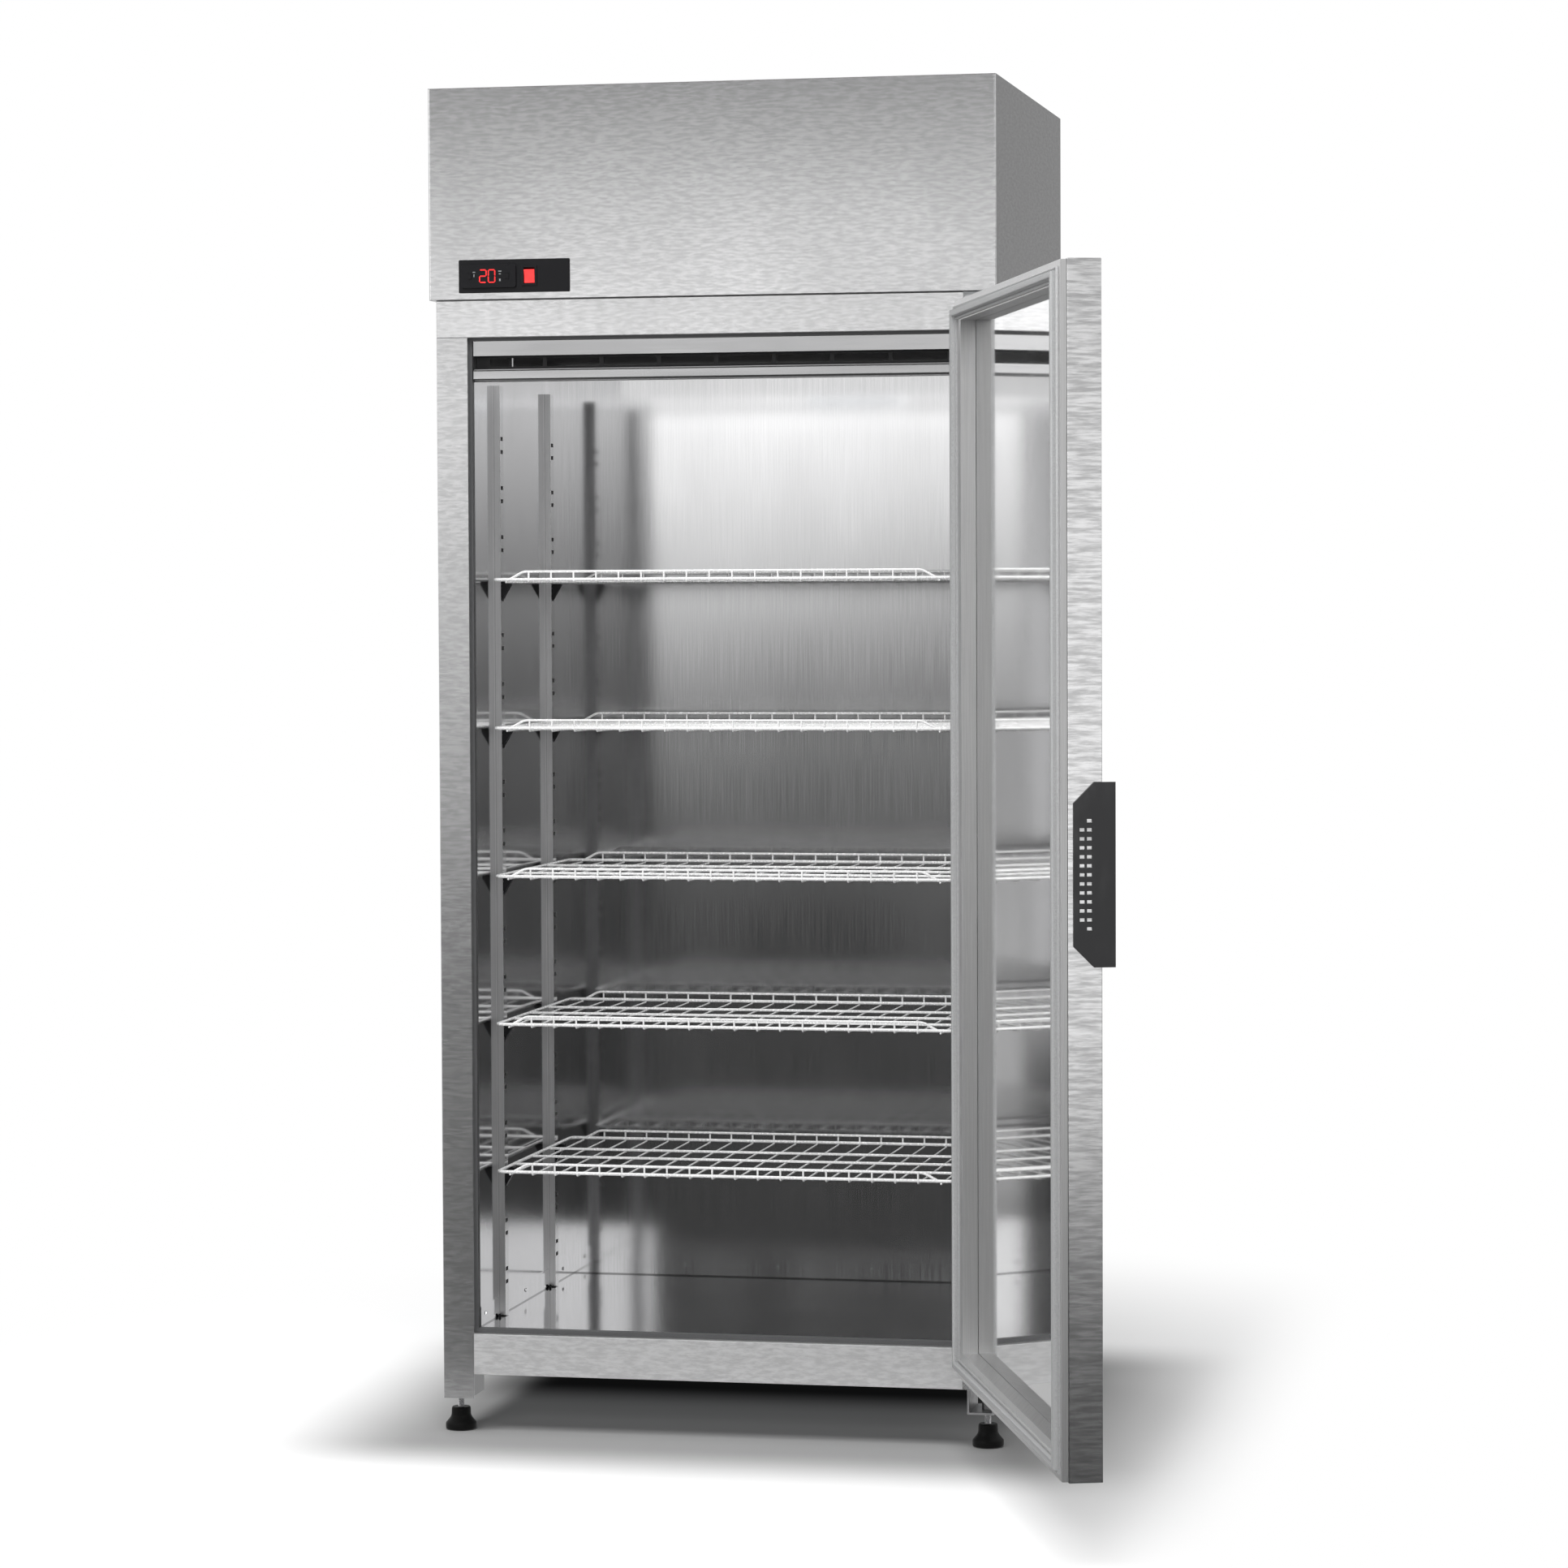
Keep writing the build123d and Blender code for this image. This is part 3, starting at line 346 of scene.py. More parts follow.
@dataclass(frozen=True)
class PolishedSteel(Finish):
    """Bright rolled sheet of the lining, with a faint rolling grain and slight waviness.

    Attributes:
        waviness: Depth of the sheet's long waves in metres.
        joint: Lower and upper edge of the dark joint along the foot of the walls.
        satin: How much rougher the faces that look forward are than the others.
    """

    waviness: float = 0.0002
    joint: tuple[float, float] = (0.1580, 0.1608)
    satin: float = 0.028

    def mix(self, recipe: Recipe) -> None:
        """Fine upright grain, soft wipe marks and long waves."""
        grain = recipe.noise((700.0, 700.0, 9.0), 2.0)
        wipes = recipe.noise((5.0, 5.0, 2.4), 3.0, (2.0, 5.0, 1.0))
        waves = recipe.noise((2.6, 2.6, 2.0), 1.0)
        z = recipe.axes()[2]
        low, high = self.joint
        joint = (1.0 - recipe.upward().above(0.5)) * z.above(low) * z.below(high)
        forward = abs(recipe.facing()[1]).above(0.7)
        tone = recipe.blend(grain.eased(0.3, 0.7), self.dark(0.93), self.dark(1.04))
        tone = recipe.blend(wipes.eased(0.4, 0.8) * 0.5, tone, self.dark(0.9))
        tone = recipe.blend(joint, tone, self.dark(0.42))
        gloss = self.roughness + (grain - 0.5) * 0.05 + (wipes - 0.5) * 0.08 + forward * self.satin
        relief = recipe.bump(waves, self.waviness * 10.0, 0.12)
        recipe.surface(tone, gloss, {"Metallic": 1.0, "Normal": relief})


@dataclass(frozen=True)
class DuctSheet(Finish):
    """Bright sheet with painted shade in its recess, and painted lamp light on the faces that the cavity
    lamp would reach.

    Attributes:
        mouth: Where the recess begins, front to back.
        recess_end: Where it ends.
        recess: Lowest and highest level of the recess.
        underside: Level that the underside lies below.
        lip_back: Where the lip ends, front to back.
        rear: Where the duct's rear wall begins, front to back.
        recess_shade_colour: Painted shade inside the recess, a dark dull colour in place of the shade there.
        glow: Strength of the lamp light painted as emission on the underside and on the faces that look
            back.
    """

    mouth: float = -0.3040
    recess_end: float = -0.2800
    recess: tuple[float, float] = (1.6078, 1.6272)
    underside: float = 1.6045
    lip_back: float = -0.2965
    rear: float = -0.0800
    recess_shade_colour: Rgb = (0.016, 0.016, 0.017)
    glow: float = 0.88

    def mix(self, recipe: Recipe) -> None:
        """Wipe marks on the sheet, painted shade inside the recess and painted lamp light below and behind.
        """
        y, z = recipe.axes()[1:]
        low, high = self.recess
        # Painted shade: the recess and the bridges between its slots are coloured dark and dull, standing in
        # for the shade inside the duct.
        inside = y.above(self.mouth) * y.below(self.recess_end) * z.above(low) * z.below(high)
        wipes = recipe.noise((3.0, 9.0, 40.0), 3.0, (2.0, 5.0, 1.0))
        tone = recipe.blend(wipes.eased(0.35, 0.75) * 0.6, self.colour, self.dark(0.86))
        # Painted lamp light: the underside and the faces that look back glow, standing in for the cavity
        # lamp's light falling on them.
        along, up = recipe.facing()[1:]
        beneath = up.below(-0.6) * z.below(self.underside)
        behind = along.above(0.6) * (z.below(self.underside) + y.above(self.rear))
        painted_lamp_light = (behind + beneath) * y.above(self.lip_back)
        lamp = {"Emission Color": recipe.blend(painted_lamp_light, BLACK, WHITE), "Emission Strength": self.glow}
        tone = recipe.blend(inside, tone, self.recess_shade_colour)
        gloss = self.roughness + (wipes - 0.5) * 0.08 + inside * 0.2
        recipe.surface(tone, gloss, {"Metallic": 1.0 - inside, **lamp})


@dataclass(frozen=True)
class Zinc(Finish):
    """Plated or dull sheet with a fine spangle.

    Attributes:
        spangle: Crystals per metre.
    """

    spangle: float = 90.0

    def mix(self, recipe: Recipe) -> None:
        """Cells of slightly different brightness under fine scratches."""
        links = {"Vector": recipe.place, "Scale": self.spangle}
        cells = recipe.node("ShaderNodeTexVoronoi", None, links).outputs["Color"]
        cell = recipe.axes(cells)[0]
        scratch = recipe.noise((40.0, 500.0, 40.0), 2.0)
        tone = recipe.blend(cell * 0.5 + scratch * 0.5, self.dark(0.82), self.dark(1.08))
        gloss = self.roughness + (cell - 0.5) * 0.14
        recipe.surface(tone, gloss, {"Metallic": 0.95, "Normal": recipe.bump(scratch, 0.0001, 0.2)})


@dataclass(frozen=True)
class Plated(Finish):
    """Bright plated wire with a thin lacquer."""

    def mix(self, recipe: Recipe) -> None:
        """Small dull specks in a bright coat."""
        specks = recipe.noise((260.0, 260.0, 260.0), 3.0).eased(0.5, 0.8)
        runs = recipe.noise((24.0, 24.0, 24.0), 2.0)
        tone = recipe.blend(runs.eased(0.3, 0.7), self.dark(0.92), self.dark(1.04))
        tone = recipe.blend(specks * 0.4, tone, self.dark(0.75))
        coat = {"Metallic": 0.30, "Coat Weight": 0.4, "Coat Roughness": 0.12}
        recipe.surface(tone, self.roughness + specks * 0.2, coat)


@dataclass(frozen=True)
class Moulded(Finish):
    """Moulded plastic or rubber with a fine texture and dust in it.

    Attributes:
        pitch: Bumps per metre.
        depth: Depth of the texture in metres.
        dust: Colour of dust and scuffs.
        dusty: Share of the surface that they cover.
        shine: Strength of the surface's mirroring.
    """

    pitch: float = 1400.0
    depth: float = 0.00006
    dust: Rgb = (0.20, 0.20, 0.20)
    dusty: float = 0.10
    shine: float = 0.5

    def mix(self, recipe: Recipe) -> None:
        """Fine pebbling, soft dust and slightly uneven gloss."""
        pebble = recipe.noise((self.pitch,) * 3, 2.0)
        haze = recipe.noise((18.0, 18.0, 18.0), 4.0, (4.0, 1.0, 7.0))
        cover = haze.eased(0.5, 0.85) * self.dusty + recipe.upward().above(0.9) * self.dusty * 0.4
        tone = recipe.blend(pebble.eased(0.3, 0.7), self.dark(0.85), self.dark(1.12))
        tone = recipe.blend(cover, tone, self.dust)
        gloss = self.roughness + (haze - 0.5) * 0.16
        relief = recipe.bump(pebble, self.depth, 0.6)
        recipe.surface(tone, gloss, {"Specular IOR Level": self.shine, "Normal": relief})


@dataclass(frozen=True)
class PowderCoat(Finish):
    """Baked powder coat with an orange-peel surface and rubbed lighter places."""

    def mix(self, recipe: Recipe) -> None:
        """Orange peel in the bump and rubbing in the gloss."""
        peel = recipe.noise((900.0, 900.0, 900.0), 2.0)
        rub = recipe.noise((30.0, 30.0, 12.0), 3.0).eased(0.45, 0.8)
        tone = recipe.blend(rub * 0.5, self.colour, tuple(part + 0.03 for part in self.colour))
        gloss = self.roughness - rub * 0.10 + (peel - 0.5) * 0.08
        recipe.surface(tone, gloss, {"Normal": recipe.bump(peel, 0.00012, 0.5)})


@dataclass(frozen=True)
class TintedPane(Finish):
    """Clear tinted glass with faint wipe marks."""

    def mix(self, recipe: Recipe) -> None:
        """Glass whose gloss varies with faint smears, and whose coating mirrors at a slant."""
        smear = recipe.noise((7.0, 7.0, 3.0), 4.0).eased(0.45, 0.85)
        slant = Value(recipe, recipe.node("ShaderNodeLayerWeight", None, {"Blend": 0.5}).outputs["Facing"])
        glass = {"Metallic": slant.eased(0.55, 0.85) * 0.85, "IOR": 1.55, "Transmission Weight": 1.0}
        recipe.surface(self.colour, self.roughness + smear * 0.05, glass)


@dataclass(frozen=True)
class Foam(Finish):
    """Rigid foam with open cells."""

    def mix(self, recipe: Recipe) -> None:
        """Cells in colour and bump."""
        links = {"Vector": recipe.place, "Scale": 260.0}
        cell = Value(recipe, recipe.node("ShaderNodeTexVoronoi", None, links).outputs["Distance"])
        tone = recipe.blend(cell.eased(0.1, 0.7), self.dark(0.82), self.colour)
        recipe.surface(tone, self.roughness, {"Normal": recipe.bump(cell, 0.0008, 0.5)})


@dataclass(frozen=True)
class Lit(Finish):
    """Plastic that a lamp behind it lights.

    Attributes:
        glow: Strength of its light.
    """

    glow: float = 0.8

    def mix(self, recipe: Recipe) -> None:
        """Brighter patches where the lamp sits nearer."""
        patch = recipe.noise((160.0, 160.0, 160.0), 1.0)
        tone = recipe.blend(patch.eased(0.3, 0.7), self.dark(0.85), self.colour)
        recipe.surface(tone, self.roughness, {"Emission Color": tone, "Emission Strength": self.glow})


# Painted light and shade: the hood, shell, header and sill steels are copies of one brushed steel whose
# different base colours are set to how bright light makes each part look.
HOOD_STEEL = BrushedSteel("hood_steel", (0.68, 0.68, 0.685), 0.17)
SHELL_STEEL = BrushedSteel("shell_steel", (0.79, 0.79, 0.795), 0.22, shift=11.0)
HEADER_STEEL = BrushedSteel("header_steel", (0.88, 0.88, 0.885), 0.21, shift=23.0)
SILL_STEEL = BrushedSteel("sill_steel", (0.93, 0.93, 0.935), 0.52, shift=31.0)
DOOR_STEEL = BrushedSteel(
    "door_steel", (0.78, 0.78, 0.785), 0.22, stroke=0.034, line=0.0040, contrast=0.34, shift=37.0
)
COVER_STEEL = BrushedSteel(
    "door_cover_steel", (0.74, 0.74, 0.74), 0.42, Grain.UPRIGHT, 0.12, 0.0016, 0.08, 0.001
)
LINING = PolishedSteel("lining_steel", (0.68, 0.68, 0.685), 0.085)
DUCT_STEEL = DuctSheet("duct_steel", (0.58, 0.58, 0.585), 0.20)
RAIL_BRIGHT = PolishedSteel("shelf_rail_steel", (0.60, 0.60, 0.605), 0.12, satin=0.30)
BRACKET_STEEL = Zinc("bracket_steel", (0.42, 0.42, 0.425), 0.40)
BOLT_STEEL = Zinc("bolt_steel", (0.66, 0.66, 0.67), 0.28, 400.0)
WIRE = Plated("bright_wire", (0.92, 0.92, 0.92), 0.25)
BLACK_PLASTIC = Moulded("black_plastic", (0.008, 0.008, 0.009), 0.30, dusty=0.03, shine=0.2)
VENT_PLASTIC = Moulded("vent_plastic", (0.016, 0.016, 0.017), 0.48, dusty=0.22)
BREAKER_PLASTIC = Moulded("breaker_plastic", (0.085, 0.086, 0.088), 0.50, 700.0, shine=0.3)
SEAL = Moulded("gasket_rubber", (0.31, 0.313, 0.316), 0.52, 900.0, 0.0001, (0.34, 0.34, 0.34), 0.2)
FOOT_RUBBER = Moulded(
    "foot_rubber", (0.004, 0.004, 0.004), 0.45, 500.0, 0.00015, (0.08, 0.08, 0.08), 0.03, 0.12
)
COAT = PowderCoat("black_coat", (0.018, 0.018, 0.019), 0.42)
PANE = TintedPane("tinted_pane", (0.97, 0.97, 0.97), 0.05)
ROCKER_RED = Lit("rocker_red", (0.80, 0.035, 0.035), 0.28, 0.85)
DIGIT_RED = Lit("digit_red", (0.75, 0.02, 0.02), 0.30, 0.8)
MARK_GREY = Lit("mark_grey", (0.22, 0.23, 0.23), 0.45, 0.12)

SLOT_FINISH: dict[str, Finish] = {
    "brushed_shell": SHELL_STEEL,
    "plain_steel": Zinc("plain_steel", (0.60, 0.61, 0.62), 0.42),
    "polished_lining": LINING,
    "satin_cover": COVER_STEEL,
    "foam": Foam("rigid_foam", (0.80, 0.72, 0.50), 0.85),
    "grey_plastic": Moulded("grey_plastic", (0.30, 0.305, 0.31), 0.50, 700.0),
    "black_plastic": BLACK_PLASTIC,
    "black_metal": COAT,
    "hinge_steel": BrushedSteel("hinge_steel", (0.55, 0.56, 0.57), 0.34, stroke=0.02, line=0.0012),
    "seal_rubber": SEAL,
    "foot_rubber": FOOT_RUBBER,
    "tinted_glass": PANE,
    "chromed_wire": WIRE,
    "coil_fins": Zinc("fin_stock", (0.70, 0.70, 0.71), 0.36, 700.0),
    "copper": BrushedSteel("copper_pipe", (0.72, 0.38, 0.24), 0.30, stroke=0.01, line=0.001),
    "lamp_lens": Lit("lamp_lens", (0.86, 0.88, 0.90), 0.25, 1.05),
    "red_rocker": ROCKER_RED,
}
SLOTS = {part["node"]: part["material_slot"] for part in frame["record"]["subparts"]}
BODIES = {node: body for body, nodes in frame["record"]["behaviour"]["bodies"].items() for node in nodes}
NODE_FINISH: dict[str, Finish] = {
    "air_duct": DUCT_STEEL,
    "breaker_frame": BREAKER_PLASTIC,
    "leg_brackets": BRACKET_STEEL,
    "top_vent": VENT_PLASTIC,
    **{f"rail_{side}_{end}": RAIL_BRIGHT for side in ("left", "right") for end in ("front", "rear")},
}


# Tools for meshes


def deselect() -> None:
    """Leaves edit mode and selects nothing."""
    if bpy.context.object and bpy.context.object.mode != "OBJECT":
        bpy.ops.object.mode_set(mode="OBJECT")
    bpy.ops.object.select_all(action="DESELECT")


def hold(piece: bpy.types.Object) -> None:
    """Makes a piece the only selected and the active one."""
    deselect()
    piece.select_set(True)
    bpy.context.view_layer.objects.active = piece


@contextlib.contextmanager
def editing(piece: bpy.types.Object, mode: str = "FACE") -> Iterator[None]:
    """Opens a piece in edit mode with nothing selected.

    Args:
        piece: The piece to edit.
        mode: VERT, EDGE or FACE.

    Yields:
        Nothing.
    """
    hold(piece)
    bpy.ops.object.mode_set(mode="EDIT")
    bpy.ops.mesh.select_mode(type=mode)
    bpy.ops.mesh.select_all(action="DESELECT")
    yield
    bpy.ops.object.mode_set(mode="OBJECT")


def pick(test: Callable[..., bool], kind: str = "faces") -> int:
    """Selects elements of the piece in edit mode by a test, and nothing else.

    Args:
        test: Takes a bmesh element and says whether it is wanted.
        kind: verts, edges or faces.

    Returns:
        How many are selected.
    """
    bpy.ops.mesh.select_all(action="DESELECT")
    work = bmesh.from_edit_mesh(bpy.context.object.data)
    wanted = [element for element in getattr(work, kind) if test(element)]
    for element in wanted:
        element.select_set(True)
    work.select_flush_mode()
    bmesh.update_edit_mesh(bpy.context.object.data)
    return len(wanted)


def seated(name: str) -> bpy.types.Object:
    """Names the new primitive and puts its place into its mesh."""
    piece = bpy.context.object
    piece.name = name
    bpy.ops.object.transform_apply(location=True, rotation=True, scale=True)
    return piece


def block(name: str, low: Sequence[float], high: Sequence[float]) -> bpy.types.Object:
    """Starts a piece as a block between two corners.

    Args:
        name: Name of the piece.
        low: Lowest corner.
        high: Highest corner.

    Returns:
        The new piece.
    """
    deselect()
    centre = [(a + b) / 2 for a, b in zip(low, high)]
    size = [b - a for a, b in zip(low, high)]
    bpy.ops.mesh.primitive_cube_add(size=1.0, location=centre, scale=size)
    return seated(name)


def turned(name: str, foot: Point, rings: Sequence[tuple[float, float]], sides: int) -> bpy.types.Object:
    """Turns a round piece upward by extruding and resizing one disc.

    Args:
        name: Name of the piece.
        foot: Centre of its underside.
        rings: Height above the underside and radius of each ring, from the underside up.
        sides: Faces round it.

    Returns:
        The new piece.
    """
    deselect()
    bpy.ops.mesh.primitive_circle_add(vertices=sides, radius=rings[0][1], fill_type="NGON", location=foot)
    piece = seated(name)
    with editing(piece):
        bpy.ops.mesh.select_all(action="SELECT")
        for (low, was), (high, now) in zip(rings, rings[1:]):
            bpy.ops.mesh.extrude_region_move(TRANSFORM_OT_translate={"value": (0, 0, high - low)})
            bpy.ops.transform.resize(value=(now / was, now / was, 1.0))
        bpy.ops.mesh.select_all(action="SELECT")
        bpy.ops.mesh.normals_make_consistent(inside=False)
    return piece


def bevelled(piece: bpy.types.Object, width: float, segments: int) -> bpy.types.Object:
    """Rounds a piece's sharp edges and applies the rounding.

    Args:
        piece: The piece.
        width: Width of the rounding in metres.
        segments: Faces across it.

    Returns:
        The same piece.
    """
    hold(piece)
    rounding = piece.modifiers.new("rounding", "BEVEL")
    rounding.width = width
    rounding.segments = segments
    rounding.limit_method = "ANGLE"
    rounding.angle_limit = math.radians(40.0)
    bpy.ops.object.modifier_apply(modifier=rounding.name)
    return piece


def moved(piece: bpy.types.Object, matrix: Matrix) -> bpy.types.Object:
    """Moves a piece by its mesh, so that its object stays at the origin."""
    piece.matrix_world = matrix
    hold(piece)
    bpy.ops.object.transform_apply(location=True, rotation=True, scale=True)
    return piece


def copied(piece: bpy.types.Object, name: str, shift: Sequence[float] = (0, 0, 0)) -> bpy.types.Object:
    """Copies a piece with a mesh of its own.

    Args:
        piece: The piece to copy.
        name: Name of the copy.
        shift: How far the copy is moved.

    Returns:
        The copy.
    """
    twin = bpy.data.objects.new(name, piece.data.copy())
    bpy.context.scene.collection.objects.link(twin)
    twin.data.transform(Matrix.Translation(Vector(shift)))
    return twin


def joined(name: str, parts: Sequence[bpy.types.Object]) -> bpy.types.Object:
    """Joins parts into one piece.

    Args:
        name: Name of the result.
        parts: The parts, of which the first takes in the others.

    Returns:
        The joined piece.
    """
    hold(parts[0])
    for part in parts:
        part.select_set(True)
    bpy.ops.object.join()
    parts[0].name = name
    return parts[0]


def finished(
    piece: bpy.types.Object,
    body: str,
    finish: Finish,
    nodes: Sequence[str] = (),
    angle: float = 35.0,
) -> bpy.types.Object:
    """Shades, dresses and hands a piece to its body.

    Args:
        piece: The piece.
        body: The body that it rides on.
        finish: Its finish.
        nodes: Frame nodes that it stands for.
        angle: Edges flatter than this many degrees are shaded smooth.

    Returns:
        The same piece.
    """
    hold(piece)
    bpy.ops.object.shade_smooth_by_angle(angle=math.radians(angle))
    flats = piece.modifiers.new("flats", "WEIGHTED_NORMAL")
    flats.keep_sharp = True
    bpy.ops.object.modifier_apply(modifier=flats.name)
    piece.data.materials.clear()
    piece.data.materials.append(finish.material())
    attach(piece, body)
    if nodes:
        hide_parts(*nodes)
    log.info("%s rides on %s, %d faces", piece.name, body, len(piece.data.polygons))
    return piece


def anywhere(middle: Vector, way: Vector) -> bool:
    """Takes every sharp edge for a fold."""
    return True


def resheeted(
    node: str, name: str, finish: Finish, radius: float, folds: Fold = anywhere, segments: int = 3
) -> None:
    """Replaces a frame node by a copy with rounded folds, on the node's own body.

    Args:
        node: The frame node.
        name: Name of the piece.
        finish: Its finish.
        radius: Outer radius of the folds in metres.
        folds: Takes an edge's middle and direction and says whether it is a fold's outer edge.
        segments: Faces round a fold.
    """
    piece = copied(frame["nodes"][node], name)
    with editing(piece):
        bpy.ops.mesh.select_all(action="SELECT")
        bpy.ops.mesh.remove_doubles(threshold=0.00001)
        bpy.ops.mesh.dissolve_limited(angle_limit=math.radians(0.5))

    def outer_fold(edge: bmesh.types.BMEdge) -> bool:
        """Says whether an edge is a sharp outward fold that the test wants."""
        if len(edge.link_faces) != 2 or not edge.is_convex or edge.calc_face_angle() < 0.6:
            return False
        start, end = (vertex.co for vertex in edge.verts)
        return folds((start + end) / 2, (end - start).normalized())

    with editing(piece, "EDGE"):
        if pick(outer_fold, "edges"):
            bpy.ops.mesh.bevel(offset=radius, segments=segments, profile=0.5, affect="EDGES")
    finished(piece, BODIES[node], finish, [node])


def near(value: float, *places: float) -> bool:
    """Whether a value is within 0.2 mm of one of some places."""
    return any(abs(value - place) < 0.0002 for place in places)


def wire(
    name: str,
    outline: bpy.types.Object,
    gap: Callable[[bmesh.types.BMEdge], bool] | None,
    bend: float,
    thickness: float,
    roundness: int,
) -> bpy.types.Object:
    """Makes a round wire along the outline of a plane.

    Args:
        name: Name of the wire.
        outline: A plane of one face, used up.
        gap: Picks the outline's side that is left open, or None for a closed wire.
        bend: Inner radius of its bends in metres.
        thickness: Its diameter.
        roundness: Blender's bevel resolution.

    Returns:
        The wire.
    """
    with editing(outline, "EDGE"):
        bpy.ops.mesh.select_all(action="SELECT")
        bpy.ops.mesh.delete(type="ONLY_FACE")
        if gap is not None:
            pick(gap, "edges")
            bpy.ops.mesh.delete(type="EDGE")
    with editing(outline, "VERT"):
        if pick(lambda vertex: len(vertex.link_edges) == 2, "verts"):
            bpy.ops.mesh.bevel(offset=bend + thickness / 2, segments=4, affect="VERTICES")
    hold(outline)
    bpy.ops.object.convert(target="CURVE")
    outline.data.bevel_depth = thickness / 2
    outline.data.bevel_resolution = roundness
    outline.data.use_fill_caps = True
    bpy.ops.object.convert(target="MESH")
    outline.name = name
    return outline


def sheet_outline(
    centre: Point, size: tuple[float, float], upright: bool = False, turn: float = 0.0
) -> bpy.types.Object:
    """Adds a plane whose outline a wire follows.

    Args:
        centre: Its centre.
        size: Its width and its height or depth.
        upright: Whether it stands, facing -Y.
        turn: Its turn about Z in radians.

    Returns:
        The plane, with its place in its mesh.
    """
    deselect()
    tilt = (math.pi / 2 if upright else 0.0, 0.0, turn)
    bpy.ops.mesh.primitive_plane_add(size=1.0, location=centre, rotation=tilt)
    bpy.context.object.scale = (size[0], size[1], 1.0)
    return seated("outline")


# Sub-assemblies


@dataclass(frozen=True)
class Zone:
    """Soft-edged part of the studio's front, as metal mirrors it.

    Attributes:
        level: Brightness in the zone.
        sides: Its edges sideways, each from where the zone ends to where it is full.
        rise: Its edge upward in the same way, or None.
        share: How much the zone covers what was there.
    """

    level: float
    sides: Sequence[tuple[float, float]]
    rise: tuple[float, float] | None = None
    share: float = 1.0

    def over(self, under: Value, across: Value, rise: Value) -> Value:
        """Lays the zone over a brightness.

        Args:
            under: The brightness without it.
            across: Direction sideways, as a share of the distance ahead.
            rise: The same upward.

        Returns:
            The brightness with it.
        """
        cover = self.share
        for edge in self.sides:
            cover = across.eased(*edge) * cover
        if self.rise:
            cover = rise.eased(*self.rise) * cover
        return under + cover * (self.level - under)


